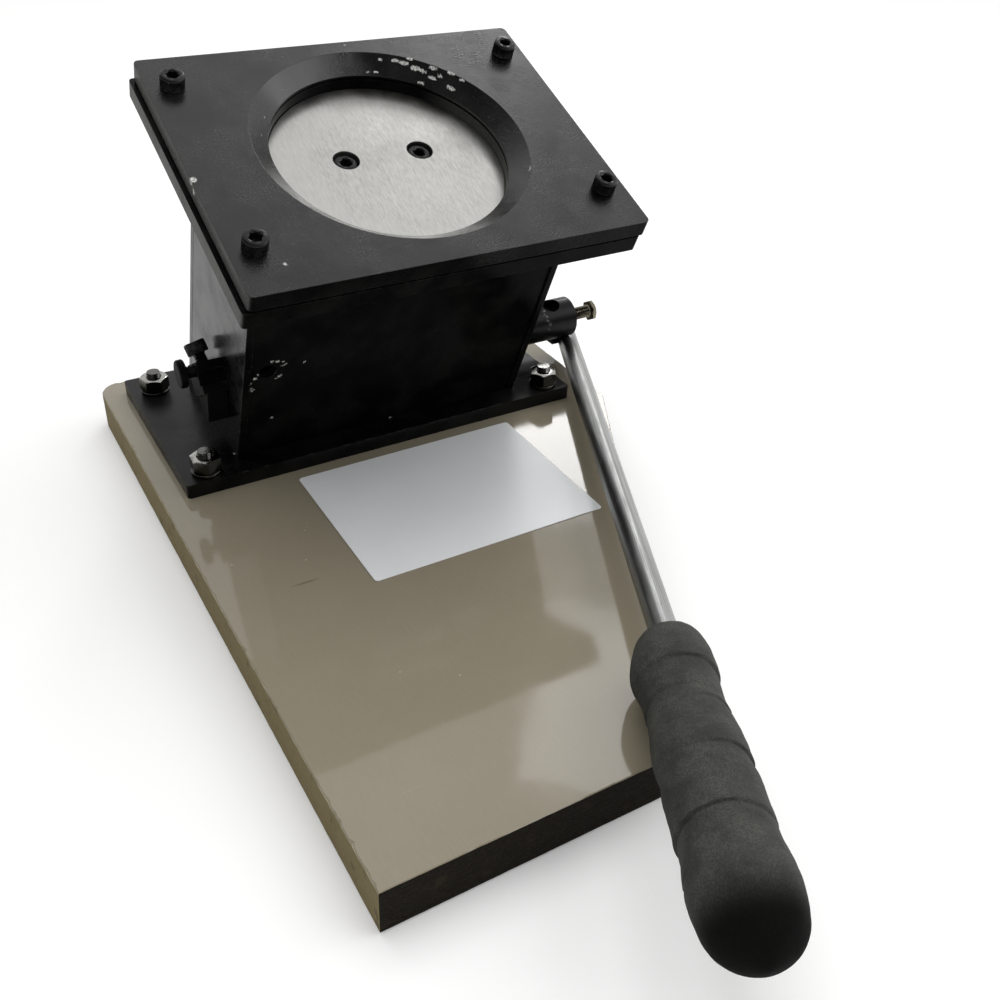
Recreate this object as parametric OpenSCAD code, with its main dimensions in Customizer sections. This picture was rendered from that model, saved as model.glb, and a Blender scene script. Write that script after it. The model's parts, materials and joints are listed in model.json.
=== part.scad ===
// Round die cutter on a board: a slanted head with a die plate over a bed plate, a round
// punch that rises through both, and a side lever that drives the punch through a crank.
// Millimetres. X runs along the lever shaft to the right, Y to the back, Z up from the table.
// The point x = 0, y = 0 is under the middle of the die hole at the top of the head.

/* [Die and bed plates] */
// Width of both plates along the shaft
plate_w = 150; // [140:1:180]
// Depth of both plates, front to back
plate_d = 117; // [112:1:130]
// Thickness of each plate
plate_t = 6.4; // [5:0.1:10]
// Height of the slot the sheet slides into
slot_gap = 0.7; // [0.5:0.1:2]
// How far the bed plate stands out to the left of the die plate
bed_shift = 1.7; // [0:0.1:3]
// How far the plates' middle lies in front of the die hole
plate_forward = 1.9; // [0:0.1:4]
// Diameter of the cut disc
hole_d = 86.7; // [70:0.1:88]
// Diameter of the lead-in cone at the top face
cone_d = 100.6; // [92:0.1:102]
// Height of the straight cutting land under the cone
die_land = 1; // [0.6:0.1:2]
// Half spacing of the plate screws along the shaft
screw_x = 66; // [62:0.5:68]
// Half spacing of the plate screws front to back
screw_y = 40.6; // [38:0.2:46]

/* [Head and housing] */
// Forward slant of the head over the level base
tilt = 23.3; // [18:0.1:26]
// Height of the die hole's middle at the top face
head_z = 147.7; // [146:0.1:160]
// Outside width of the housing
box_w = 128.4; // [120:0.2:136]
// Distance of the housing's front from the punch axis
box_front = 34.7; // [34:0.1:40]
// Distance of the housing's back from the punch axis
box_back = 25.5; // [25:0.1:32]
// Wall thickness of the housing
wall_t = 3; // [2.5:0.1:4]
// How far the front and back walls stop under the die plate's face
wall_drop = 36; // [35:0.5:38]

/* [Base] */
// Board thickness
board_t = 17; // [15:0.5:19]
// Board edge to the left of the middle
board_left = 97.6; // [94:0.2:110]
// Board edge to the right of the middle
board_right = 103.5; // [98:0.5:115]
// Board's front edge
board_front = 188.3; // [170:0.5:200]
// Board's back edge
board_back = 112; // [106:0.5:125]
// Where the slanted right side meets the front edge
board_nose = 3; // [-10:0.5:40]
// Base plate width
base_w = 176; // [168:1:176]
// Base plate depth
base_d = 95.2; // [92:0.2:100]
// Base plate front edge behind the middle
base_front = 5.5; // [3:0.1:8]
// Base plate thickness
base_t = 6; // [5:0.2:6.6]
// Distance of the mounting bolts from the base plate's ends
bolt_inset = 10; // [8:0.5:12]

/* [Punch and drive] */
// Punch thickness
punch_t = 12; // [10:0.5:13]
// Depth of the punch face under the die plate's top at rest
punch_rest = 11; // [10.6:0.1:11.6]
// Shaft axis in front of the punch axis, in the head's own frame
shaft_ahead = 5.85; // [5.2:0.05:6.4]
// Shaft axis above the base plate's top
shaft_rise = 16.1; // [16:0.1:17.5]
// Shaft diameter
shaft_d = 12; // [11:0.5:13]
// Throw of the crank pin
crank_throw = 8.3; // [7.5:0.1:8.6]
// Turn of the lever from rest to the end of the cut
lever_sweep = 35; // [30:1:36]
// Crank pin diameter
pin_d = 7; // [6.5:0.5:7.5]

/* [Lever and stop] */
// Hub diameter
hub_d = 18.6; // [17.6:0.2:20]
// Hub's outer end
hub_end = 108; // [107:0.5:110]
// Lever rod diameter
rod_d = 9.5; // [8.5:0.1:10]
// Where the rod's line crosses under the shaft axis
rod_x = 109.9; // [109:0.1:110.5]
// Slant of the rod from square to the shaft, towards the middle
rod_slant = 25.3; // [20:0.1:26]
// Grip diameter
grip_d = 27; // [22:0.5:29]
// Start of the grip along the rod from the shaft axis
grip_from = 212; // [190:1:230]
// End of the grip along the rod from the shaft axis
grip_to = 333; // [300:1:340]
// Slope of the stop arm above level at rest
arm_slope = 30; // [25:1:34]

/* [Hidden] */
$fn = 64;

// Clearances
run_clear = 0.05;      // shaft in its bushes, per side
seat_clear = 0.02;     // parts pressed or screwed together, per side
slide_clear = 0.3;     // flat sliding faces, per side
punch_clear = 0.08;    // punch in the bed and die holes, per side
side_gap = 0.3;        // hub and arm off the bush flanges
thread_clear = 0.1;    // screws in their holes, per side

// Screws: five millimetre socket screws and six millimetre hexagon bolts
cap_d = 5;
cap_head_d = 8.5;
cap_head_h = 5;
cap_key = 4;
hex_d = 6;
hex_af = 10;
hex_head_h = 4;
nut_h = 5;
washer_d = 12;
washer_t = 1.6;
bolt_over = 3;
bolt_x = base_w / 2 - bolt_inset;
bolt_front_in = 7;
bolt_back_in = 15.5;
bolt_y = [base_front + bolt_front_in, base_front + base_d - bolt_back_in];

// Levels and places in the head's own frame, measured from the die hole at the top face
base_top = board_t + base_t;
shaft_z = base_top + shaft_rise;
bed_top = -plate_t - slot_gap;
bed_low = bed_top - plate_t;
hole_r = hole_d / 2;
punch_r = hole_r - punch_clear;
box_in = box_w / 2 - wall_t;
back_in = box_back - wall_t;
front_set = 0.8;
front_in = -box_front + front_set + wall_t;
head_sin = sin(tilt);
head_cos = cos(tilt);
shaft_h = -shaft_ahead;
shaft_y = (shaft_h - (shaft_z - head_z) * head_sin) / head_cos;
shaft_v = -shaft_y * head_sin + (shaft_z - head_z) * head_cos;
function base_line(y) = (base_top - head_z - y * head_sin) / head_cos;

// Crank pin at rest, half a sweep below the head's own level
half_sweep = lever_sweep / 2;
pin_r = pin_d / 2;
pin_h = shaft_h - crank_throw * cos(half_sweep);
pin_v = shaft_v - crank_throw * sin(half_sweep);
web_in = 13;
web_t = 8;
web_wall = 3;
swing_r = crank_throw + pin_r + web_wall;

// Ram
ram_top = -punch_rest - punch_t;
flange_d = 60;
flange_t = 8;
ram_w = 40;
ram_d = 30;
ram_low = shaft_v + swing_r + 1.6;
ram_travel = 2 * crank_throw * sin(half_sweep);
leg_w = 24;
leg_bar = 3;
leg_top = ram_low + 3;
slot_low = pin_v - pin_r - slide_clear;
slot_high = pin_v + pin_r + slide_clear;
slot_front = shaft_h - crank_throw - pin_r - 0.6;
slot_back = pin_h + pin_r + 0.6;
punch_screw_x = 14.7;
punch_screw_y = 4.8;
punch_screw_bite = 16;

// Guides, which end above the leg at the top of its stroke
guide_top = -58;
guide_low = leg_top + ram_travel + 1;
guide_h = guide_top - guide_low;
cheek_t = 12;
lug = 10;
lug_h = 12;
lug_v = [-wall_drop - 8, shaft_v + 6];

// Shaft ends, hub and arm
bush_wall = 2;
flange_wall = 5;
boss_wall = 7;
bush_od = shaft_d + 2 * bush_wall;
flange_od = shaft_d + 2 * flange_wall;
bush_flange = 1.5;
boss_d = shaft_d + 2 * boss_wall;
boss_t = 8;
flange_out = box_w / 2 + bush_flange;
hub_in = flange_out + side_gap;
hub_hold = 20;
shaft_right = hub_in + hub_hold;
rod_back = 8;
rod_sink = 0.4;
rod_under = hub_d / 2 + rod_d / 2 - rod_sink;
grip_rest = 0.4;
rod_rise = asin((board_t + grip_d / 2 + grip_rest - shaft_z + rod_under) / grip_from);
saddle_w = 11;
saddle_over = 5;
saddle_front = 1.5;
saddle_d = 6.5;
spare_in = 11;
spare_x = hub_end - spare_in;
pin_inset = 8;
hub_bolt_out = 12.5;
hub_bolt_head = 2.2;
hub_bolt_af = 8.8;
grip_wall = 8;

// Stop arm, in its own frame with the block ahead of the shaft
arm_in = box_w / 2 + side_gap;
arm_plate = 4;
arm_bore = 3.5;
shaft_left = arm_in + arm_bore;
arm_r = 9.5;
block_t = 9.5;
block_front = 28;
block_back = 12;
block_low = 1.4;
block_high = 14.1;
slit_in = 2.8;
slit_low = 4.8;
slit_high = 10.4;
leg_t = 8;
leg_top_front = 26.5;
leg_low_front = 16.5;
leg_back = 10.8;
leg_low = 9.4;
stop_x = 5.5;
stop_y = 16.4;
stop_lean = 11;
stop_seat = 17.6;
stop_mid = 20;
stop_depth = 7;
pivot_y = 22;
pivot_v = 11.1;
pivot_r = 5.6;
pivot_t = 3;
pivot_out = 3.8;
pivot_bite = 5;

// Shared shapes

// A square-edged plate with small round corners, lying on the level z = 0
module plate(w, d, t, r) {
    linear_extrude(t) {
        square([w - 2 * r, d], center = true);
        square([w, d - 2 * r], center = true);
        for (sx = [-1, 1])
            for (sy = [-1, 1])
                translate([sx * (w / 2 - r), sy * (d / 2 - r)])
                    circle(r, $fn = 32);
    }
}

// The head's own frame: slanted about the shaft direction at the die hole's middle
module in_head() {
    translate([0, 0, head_z])
        rotate([tilt, 0, 0])
            children();
}

// The shaft's frame: X along the shaft, origin on its axis
module on_shaft() {
    translate([0, shaft_y, shaft_z])
        children();
}

// A side profile in the head's y and z, drawn out along the shaft from x0 to x1
module profile(x0, x1, points) {
    translate([x0, 0, 0])
        rotate([90, 0, 90])
            linear_extrude(x1 - x0)
                polygon(points);
}

// A round bar along the shaft from x0 to x1
module bar(x0, x1, r) {
    translate([x0, 0, 0])
        rotate([0, 90, 0])
            cylinder(h = x1 - x0, r = r);
}

// A socket head screw, head seat at z = 0, shank downwards
module cap_screw(length) {
    difference() {
        union() {
            cylinder(h = cap_head_h, d = cap_head_d, $fn = 48);
            translate([0, 0, -length])
                cylinder(h = length + 0.5, d = cap_d, $fn = 32);
        }
        translate([0, 0, cap_head_h - 2.6])
            cylinder(h = 3, d = cap_key / cos(30), $fn = 6);
    }
}

// A hexagon head bolt, head seat at z = 0, shank downwards
module hex_bolt(length) {
    cylinder(h = hex_head_h, d = hex_af / cos(30), $fn = 6);
    translate([0, 0, -length])
        cylinder(h = length + 0.5, d = hex_d, $fn = 32);
}

// The four mounting bolt places
module at_bolts() {
    for (sx = [-1, 1])
        for (y = bolt_y)
            translate([sx * bolt_x, y, 0])
                children();
}

// The four plate screw places, in the head's frame
module at_screws() {
    for (sx = [-1, 1])
        for (sy = [-1, 1])
            translate([sx * screw_x, sy * screw_y, 0])
                children();
}

// The rod's frame: Z runs outwards along the lever from under the shaft axis
module along_rod() {
    on_shaft()
        translate([rod_x, 0, -rod_under])
            rotate([0, 0, -rod_slant])
                rotate([90 - rod_rise, 0, 0])
                    children();
}

// The arm's frame: Y runs backwards and down along the arm, Z square to it, origin on the shaft
module along_arm() {
    on_shaft()
        rotate([-arm_slope, 0, 0])
            children();
}

// The stop screw's frame: Z runs up along the leaning screw, origin at the middle of its head
module along_stop() {
    along_arm()
        translate([-arm_in - stop_x, -stop_y, stop_mid])
            rotate([0, -stop_lean, 0])
                children();
}

// Base

module base_board() {
    corner_r = 9;
    color([0.62, 0.57, 0.49])
        difference() {
            linear_extrude(board_t) {
                polygon([[-board_left, -board_front], [board_nose, -board_front],
                    [board_right, 0], [board_right, board_back],
                    [corner_r - board_left, board_back], [-board_left, board_back - corner_r]]);
                translate([corner_r - board_left, board_back - corner_r])
                    circle(corner_r);
            }
            at_bolts() {
                translate([0, 0, -1])
                    cylinder(h = board_t + 2, d = hex_d + 2 * thread_clear);
                translate([0, 0, -1])
                    cylinder(h = hex_head_h + 3, d = hex_af + 6);
            }
        }
}

module foil_plate() {
    foil_w = 97;
    foil_d = 73.5;
    foil_t = 0.4;
    foil_side = 3;
    foil_gap = 6.25;
    color([0.8, 0.81, 0.83])
        translate([foil_side, base_front - foil_gap - foil_d / 2, board_t])
            plate(foil_w, foil_d, foil_t, 1.5);
}

module base_plate() {
    color([0.04, 0.04, 0.045])
        difference() {
            translate([0, base_front + base_d / 2, board_t])
                plate(base_w, base_d, base_t, 1.5);
            at_bolts()
                translate([0, 0, board_t - 1])
                    cylinder(h = base_t + 2, d = hex_d + 2 * thread_clear);
        }
}

module mount_bolts() {
    seat = hex_head_h + 2;
    reach = base_top + washer_t + nut_h + bolt_over;
    color([0.6, 0.6, 0.58])
        at_bolts() {
            translate([0, 0, seat - hex_head_h])
                cylinder(h = hex_head_h, d = hex_af / cos(30), $fn = 6);
            translate([0, 0, seat - 0.5])
                cylinder(h = reach - seat + 0.5, d = hex_d, $fn = 32);
        }
}

module mount_washers() {
    color([0.62, 0.62, 0.6])
        at_bolts()
            translate([0, 0, base_top])
                difference() {
                    cylinder(h = washer_t, d = washer_d);
                    translate([0, 0, -1])
                        cylinder(h = washer_t + 2, d = hex_d + 2 * thread_clear);
                }
}

module mount_nuts() {
    color([0.7, 0.7, 0.68])
        at_bolts()
            translate([0, 0, base_top + washer_t])
                difference() {
                    cylinder(h = nut_h, d = hex_af / cos(30), $fn = 6);
                    translate([0, 0, -1])
                        cylinder(h = nut_h + 2, d = hex_d + 2 * seat_clear);
                }
}

// Housing

// One side wall from its inner face outwards, with the hole for the bush
module side_wall(x0) {
    difference() {
        profile(x0, x0 + wall_t, [[-box_front, bed_low], [back_in, bed_low],
            [back_in, base_line(back_in)], [-box_front, base_line(-box_front)]]);
        translate([0, shaft_h, shaft_v])
            bar(x0 - 1, x0 + wall_t + 1, bush_od / 2 + seat_clear);
    }
}

module left_side_plate() {
    color([0.05, 0.05, 0.055])
        in_head()
            side_wall(-box_w / 2);
}

module right_side_plate() {
    color([0.05, 0.05, 0.055])
        in_head()
            side_wall(box_in);
}

module front_plate() {
    y0 = -box_front + front_set;
    eye_d = 7;
    eye_side = 6.5;
    eye_down = 35;
    color([0.045, 0.045, 0.05])
        in_head()
            difference() {
                profile(-box_in, box_in, [[y0, -wall_drop], [front_in, -wall_drop],
                    [front_in, base_line(front_in)], [y0, base_line(y0)]]);
                translate([-box_in + eye_side, y0 - 1, -wall_drop - eye_down])
                    rotate([-90, 0, 0])
                        cylinder(h = wall_t + 2, d = eye_d);
            }
}

module back_plate() {
    color([0.045, 0.045, 0.05])
        in_head()
            difference() {
                profile(-box_w / 2, box_w / 2, [[back_in, -wall_drop], [box_back, -wall_drop],
                    [box_back, base_line(box_back)], [back_in, base_line(back_in)]]);
                at_lugs()
                    rotate([-90, 0, 0])
                        translate([0, 0, -1])
                            cylinder(h = wall_t + 2, d = 4 + 2 * thread_clear);
            }
}

// Middle of each lug on the back wall's inner face
module at_lugs() {
    for (sx = [-1, 1])
        for (v = lug_v)
            translate([sx * (box_in - lug / 2), back_in, v])
                children();
}

module corner_lugs() {
    color([0.3, 0.3, 0.31])
        in_head()
            at_lugs()
                difference() {
                    translate([-lug / 2, -lug, -lug_h / 2])
                        cube([lug, lug, lug_h]);
                    rotate([90, 0, 0])
                        translate([0, 0, -1])
                            cylinder(h = 8.5, d = 4 + 2 * thread_clear, $fn = 32);
                }
}

module back_screws() {
    color([0.66, 0.66, 0.64])
        in_head()
            at_lugs()
                rotate([-90, 0, 0])
                    translate([0, 0, wall_t])
                        difference() {
                            union() {
                                cylinder(h = 2.4, d = 7.5, $fn = 48);
                                translate([0, 0, -wall_t - 7])
                                    cylinder(h = wall_t + 7.5, d = 4, $fn = 32);
                            }
                            translate([-5, -0.5, 1.4])
                                cube([10, 1, 2]);
                        }
}

module guide_bars() {
    run_y = ram_d / 2 + slide_clear;
    color([0.32, 0.32, 0.33])
        in_head() {
            translate([-box_in, run_y, guide_low])
                cube([2 * box_in, back_in - run_y, guide_h]);
            translate([-box_in, -run_y - 8, guide_low])
                cube([2 * box_in, 8, guide_h]);
        }
}

module guide_cheeks() {
    run_y = ram_d / 2 + slide_clear;
    run_x = ram_w / 2 + slide_clear;
    color([0.36, 0.36, 0.37])
        in_head()
            for (x0 = [-run_x - cheek_t, run_x])
                translate([x0, -run_y, guide_low])
                    cube([cheek_t, 2 * run_y, guide_h]);
}

module bearing_bosses() {
    color([0.3, 0.3, 0.31])
        on_shaft()
            for (x0 = [-box_in, box_in - boss_t])
                difference() {
                    bar(x0, x0 + boss_t, boss_d / 2);
                    bar(x0 - 1, x0 + boss_t + 1, bush_od / 2 + seat_clear);
                }
}

// A bush from x0 to x1, with its running bore
module one_bush(x0, x1) {
    difference() {
        union() {
            bar(x0, x1, bush_od / 2);
            children();
        }
        bar(x0 - 1, x1 + 1, shaft_d / 2 + run_clear);
    }
}

// The right bush has a flange under the hub; the left one ends flush with the side plate
module shaft_bushes() {
    color([0.6, 0.45, 0.2])
        on_shaft() {
            one_bush(box_in - boss_t, flange_out)
                bar(box_w / 2, flange_out, flange_od / 2);
            one_bush(-box_w / 2, -box_in + boss_t);
        }
}

// Plates of the head

module bed_plate() {
    color([0.05, 0.05, 0.055])
        in_head()
            difference() {
                translate([-bed_shift, -plate_forward, bed_low])
                    plate(plate_w, plate_d, plate_t, 1.5);
                translate([0, 0, bed_low - 1])
                    cylinder(h = plate_t + 2, r = hole_r, $fn = 128);
                at_screws()
                    translate([0, 0, bed_low - 1])
                        cylinder(h = plate_t + 2, d = cap_d + 2 * thread_clear);
            }
}

module gap_shims() {
    color([0.2, 0.2, 0.21])
        in_head()
            at_screws()
                translate([0, 0, bed_top])
                    difference() {
                        cylinder(h = slot_gap, d = cap_head_d + 2.5);
                        translate([0, 0, -1])
                            cylinder(h = slot_gap + 2, d = cap_d + 2 * thread_clear);
                    }
}

module die_plate() {
    cone_low = -plate_t + die_land;
    cone_rise = (cone_d - hole_d) / (2 * -cone_low);
    color([0.05, 0.05, 0.055])
        in_head()
            difference() {
                translate([0, -plate_forward, -plate_t])
                    plate(plate_w, plate_d, plate_t, 2);
                translate([0, 0, -plate_t - 1])
                    cylinder(h = plate_t + 2, r = hole_r, $fn = 128);
                translate([0, 0, cone_low])
                    cylinder(h = 1 - cone_low, r1 = hole_r,
                        r2 = cone_d / 2 + cone_rise, $fn = 128);
                at_screws()
                    translate([0, 0, -plate_t - 1])
                        cylinder(h = plate_t + 2, d = cap_d + 2 * thread_clear);
            }
}

module plate_screws() {
    color([0.06, 0.06, 0.06])
        in_head()
            at_screws()
                cap_screw(-bed_low - 0.5);
}

// Punch and ram

module punch_screw_places() {
    for (sx = [-1, 1])
        translate([sx * punch_screw_x, punch_screw_y, -punch_rest])
            children();
}

module punch() {
    color([0.72, 0.72, 0.7])
        in_head()
            difference() {
                translate([0, 0, ram_top])
                    cylinder(h = punch_t, r = punch_r, $fn = 128);
                punch_screw_places() {
                    translate([0, 0, -cap_head_h - 1])
                        cylinder(h = cap_head_h + 2, d = cap_head_d + 1.2);
                    translate([0, 0, -punch_t - 1])
                        cylinder(h = punch_t + 2, d = cap_d + 2 * thread_clear);
                }
            }
}

module punch_screws() {
    color([0.08, 0.08, 0.08])
        in_head()
            punch_screw_places()
                translate([0, 0, -cap_head_h - 1])
                    cap_screw(punch_t + 6);
}

module ram() {
    leg_front = slot_front - leg_bar;
    color([0.4, 0.4, 0.41])
        in_head()
            difference() {
                union() {
                    translate([0, 0, ram_top - flange_t])
                        cylinder(h = flange_t, d = flange_d);
                    translate([-ram_w / 2, -ram_d / 2, ram_low])
                        cube([ram_w, ram_d, ram_top - flange_t - ram_low + 0.5]);
                    translate([-leg_w / 2, leg_front, slot_low - leg_bar])
                        cube([leg_w, ram_d / 2 - 6 - leg_front, leg_top - slot_low + leg_bar]);
                }
                translate([-leg_w / 2 - 1, slot_front, slot_low])
                    cube([leg_w + 2, slot_back - slot_front, slot_high - slot_low]);
                punch_screw_places()
                    translate([0, 0, -punch_t - punch_screw_bite])
                        cylinder(h = punch_screw_bite + 1, d = cap_d + 2 * thread_clear, $fn = 32);
            }
}

// Shaft and lever

// One crank web beside the ram's leg, from x0 outwards
module web(x0) {
    bar(x0, x0 + web_t, shaft_d / 2 + web_wall);
    translate([0, -crank_throw * cos(half_sweep), -crank_throw * sin(half_sweep)])
        bar(x0, x0 + web_t, pin_r + web_wall);
}

module crankshaft() {
    color([0.42, 0.42, 0.43])
        on_shaft() {
            rotate([tilt, 0, 0]) {
                web(web_in);
                web(-web_in - web_t);
                translate([0, -crank_throw * cos(half_sweep), -crank_throw * sin(half_sweep)])
                    bar(-web_in - web_t / 2, web_in + web_t / 2, pin_r);
            }
            difference() {
                union() {
                    bar(web_in + web_t / 2, shaft_right, shaft_d / 2);
                    bar(-shaft_left, -web_in - web_t / 2, shaft_d / 2);
                }
                pin_hole();
            }
        }
}

// Cross hole for the pin that ties the hub to the shaft
module pin_hole() {
    translate([hub_in + pin_inset, 0, -hub_d / 2 - 1])
        cylinder(h = hub_d + 2, d = 4 + 2 * seat_clear, $fn = 32);
}

module lever_hub() {
    color([0.06, 0.065, 0.07])
        difference() {
            on_shaft()
                difference() {
                    union() {
                        bar(hub_in, hub_end, hub_d / 2);
                        translate([hub_end - saddle_w + saddle_over, saddle_front, -rod_under - 1])
                            cube([saddle_w, saddle_d, rod_under - 4]);
                    }
                    bar(hub_in - 1, shaft_right, shaft_d / 2 + seat_clear);
                    bar(hub_end - 7, hub_end + 1, hex_d / 2 + seat_clear);
                    pin_hole();
                    rotate([10, 0, 0])
                        translate([spare_x, 0, hub_d / 2 - 4.5])
                            cylinder(h = 10, d = rod_d);
                }
            along_rod()
                translate([0, 0, -rod_back - 5])
                    cylinder(h = rod_back + 30, d = rod_d + 2 * seat_clear);
        }
}

module hub_pin() {
    color([0.5, 0.5, 0.5])
        on_shaft()
            translate([hub_in + pin_inset, 0, -hub_d / 2 + 0.6])
                cylinder(h = hub_d - 1.2, d = 4, $fn = 32);
}

module hub_bolt() {
    color([0.66, 0.65, 0.6])
        on_shaft() {
            bar(hub_end - 6.5, hub_end + hub_bolt_out + 0.5, hex_d / 2);
            translate([hub_end + hub_bolt_out, 0, 0])
                rotate([0, 90, 0])
                    cylinder(h = hub_bolt_head, d = hub_bolt_af / cos(30), $fn = 6);
        }
}

module lever_rod() {
    color([0.75, 0.76, 0.77])
        along_rod()
            translate([0, 0, -rod_back])
                cylinder(h = grip_to - grip_wall + rod_back, d = rod_d);
}

module grip() {
    color([0.08, 0.08, 0.08])
        along_rod()
            difference() {
                union() {
                    translate([0, 0, grip_from])
                        cylinder(h = grip_to - grip_d / 2 - grip_from, d = grip_d);
                    translate([0, 0, grip_to - grip_d / 2])
                        sphere(d = grip_d);
                }
                translate([0, 0, grip_from - 1])
                    cylinder(h = grip_to - grip_wall - grip_from + 1, d = rod_d + 2 * seat_clear);
            }
}

// Stop arm at the shaft's left end

module stop_arm() {
    color([0.05, 0.05, 0.055])
        along_arm()
            difference() {
                union() {
                    profile(-arm_in - block_t, -arm_in, [[-block_front, block_low],
                        [-block_back, block_low], [-block_back, block_high],
                        [-block_front, block_high], [-block_front, slit_high],
                        [slit_in - block_front, slit_high], [slit_in - block_front, slit_low],
                        [-block_front, slit_low]]);
                    profile(-arm_in - leg_t, -arm_in, [[-leg_top_front, block_low + 0.5],
                        [-leg_low_front, -leg_low], [-leg_back, -leg_low],
                        [-leg_back, block_low + 0.5]]);
                    bar(-arm_in - arm_plate, -arm_in, arm_r);
                    translate([-arm_in - arm_plate, -block_back - 1, -leg_low + 0.4])
                        cube([arm_plate, block_back + 1, 2 * leg_low - 0.8]);
                }
                bar(-shaft_left, -arm_in + 1, shaft_d / 2 + seat_clear);
                translate([-arm_in - block_t - 1, -pivot_y, pivot_v])
                    rotate([0, 90, 0])
                        cylinder(h = pivot_bite + 1, d = cap_d + 2 * thread_clear, $fn = 32);
                translate([-arm_in - stop_x, -stop_y, stop_mid])
                    rotate([0, -stop_lean, 0])
                        translate([0, 0, stop_depth - stop_mid])
                            cylinder(h = stop_mid, d = cap_d + 2 * thread_clear, $fn = 32);
            }
}

module stop_screw() {
    color([0.07, 0.07, 0.07])
        along_stop()
            translate([0, 0, stop_seat - stop_mid])
                cap_screw(stop_seat - stop_depth - 0.5);
}

module arm_bolt() {
    color([0.12, 0.12, 0.12])
        along_arm()
            translate([-arm_in - block_t - pivot_out - pivot_t, -pivot_y, pivot_v]) {
                bar(0, pivot_t, pivot_r);
                bar(pivot_t - 0.5, pivot_t + pivot_out + pivot_bite - 0.5, cap_d / 2);
            }
}

base_board();
foil_plate();
base_plate();
mount_bolts();
mount_washers();
mount_nuts();
left_side_plate();
right_side_plate();
front_plate();
back_plate();
corner_lugs();
back_screws();
guide_bars();
guide_cheeks();
bearing_bosses();
shaft_bushes();
bed_plate();
gap_shims();
die_plate();
plate_screws();
ram();
punch();
punch_screws();
crankshaft();
lever_hub();
hub_pin();
hub_bolt();
lever_rod();
grip();
stop_arm();
stop_screw();
arm_bolt();
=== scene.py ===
import json
import math

import bmesh
import bpy
from mathutils import Matrix, Vector, noise

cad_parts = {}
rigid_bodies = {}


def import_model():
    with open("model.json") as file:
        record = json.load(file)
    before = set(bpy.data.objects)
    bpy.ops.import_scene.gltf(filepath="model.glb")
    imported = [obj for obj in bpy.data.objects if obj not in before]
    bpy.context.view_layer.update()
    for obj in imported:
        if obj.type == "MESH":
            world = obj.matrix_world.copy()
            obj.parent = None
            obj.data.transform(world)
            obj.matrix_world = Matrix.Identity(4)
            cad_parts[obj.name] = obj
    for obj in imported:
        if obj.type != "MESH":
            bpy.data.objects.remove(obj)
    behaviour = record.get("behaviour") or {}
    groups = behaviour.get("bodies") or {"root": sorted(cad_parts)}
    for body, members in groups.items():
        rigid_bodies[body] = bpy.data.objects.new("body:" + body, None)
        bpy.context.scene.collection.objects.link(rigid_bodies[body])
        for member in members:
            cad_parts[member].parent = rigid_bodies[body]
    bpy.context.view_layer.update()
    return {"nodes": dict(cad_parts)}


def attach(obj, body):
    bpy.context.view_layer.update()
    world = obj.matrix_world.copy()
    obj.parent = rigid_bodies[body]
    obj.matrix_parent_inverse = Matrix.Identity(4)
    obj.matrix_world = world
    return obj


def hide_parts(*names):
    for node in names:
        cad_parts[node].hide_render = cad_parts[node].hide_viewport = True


for old in list(bpy.data.objects):
    bpy.data.objects.remove(old)
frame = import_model()

# Places that the solids also use, in millimetres, with angles in radians
SIDES = (-1, 1)
SQUARE = math.pi / 2
TILT = math.radians(23.3)
HEAD_Z = 147.7
SHAFT = (0, 40.401, 39.1)
ROD_X = 109.9
ROD_UNDER = 13.65
ROD_SLANT = math.radians(25.3)
ROD_RISE = math.radians(1.4731)
ROD_R = 4.75
ARM_SLOPE = math.radians(30)
ARM_IN = 64.5
HUB_END = 108
BOARD_T = 17
BASE_TOP = 23
SCREW_X, SCREW_Y = 66, 40.6
PUNCH_SCREW_X, PUNCH_SCREW_Y = 14.7, 4.8
PUNCH_REST = 11
BOLT_X, BOLT_FRONT_Y, BOLT_BACK_Y = 78, 12.5, 85.2
BOLTS = [(side * BOLT_X, y) for side in SIDES for y in (BOLT_FRONT_Y, BOLT_BACK_Y)]


def shifted(x, y, z):
    return Matrix.Translation((x, y, z))


def spun(angle, axis):
    return Matrix.Rotation(angle, 4, axis)


# Frames of the parts, each from its own millimetres to metres in the shared frame
MM = 0.001
LEVEL = Matrix.Scale(MM, 4)
HEAD = LEVEL @ shifted(0, 0, HEAD_Z) @ spun(TILT, "X")
ON_SHAFT = LEVEL @ shifted(*SHAFT)
ROD = (ON_SHAFT @ shifted(ROD_X, 0, -ROD_UNDER) @ spun(-ROD_SLANT, "Z")
       @ spun(SQUARE - ROD_RISE, "X"))
ARM = ON_SHAFT @ spun(-ARM_SLOPE, "X")


# Materials

# The mix node's two inputs and its output by number, since their names repeat
COLOUR_SOCKETS = (6, 7, 2)
FLOAT_SOCKETS = (2, 3, 0)
SEEN_BY = ("Camera", "Glossy", "Transmission")


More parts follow.
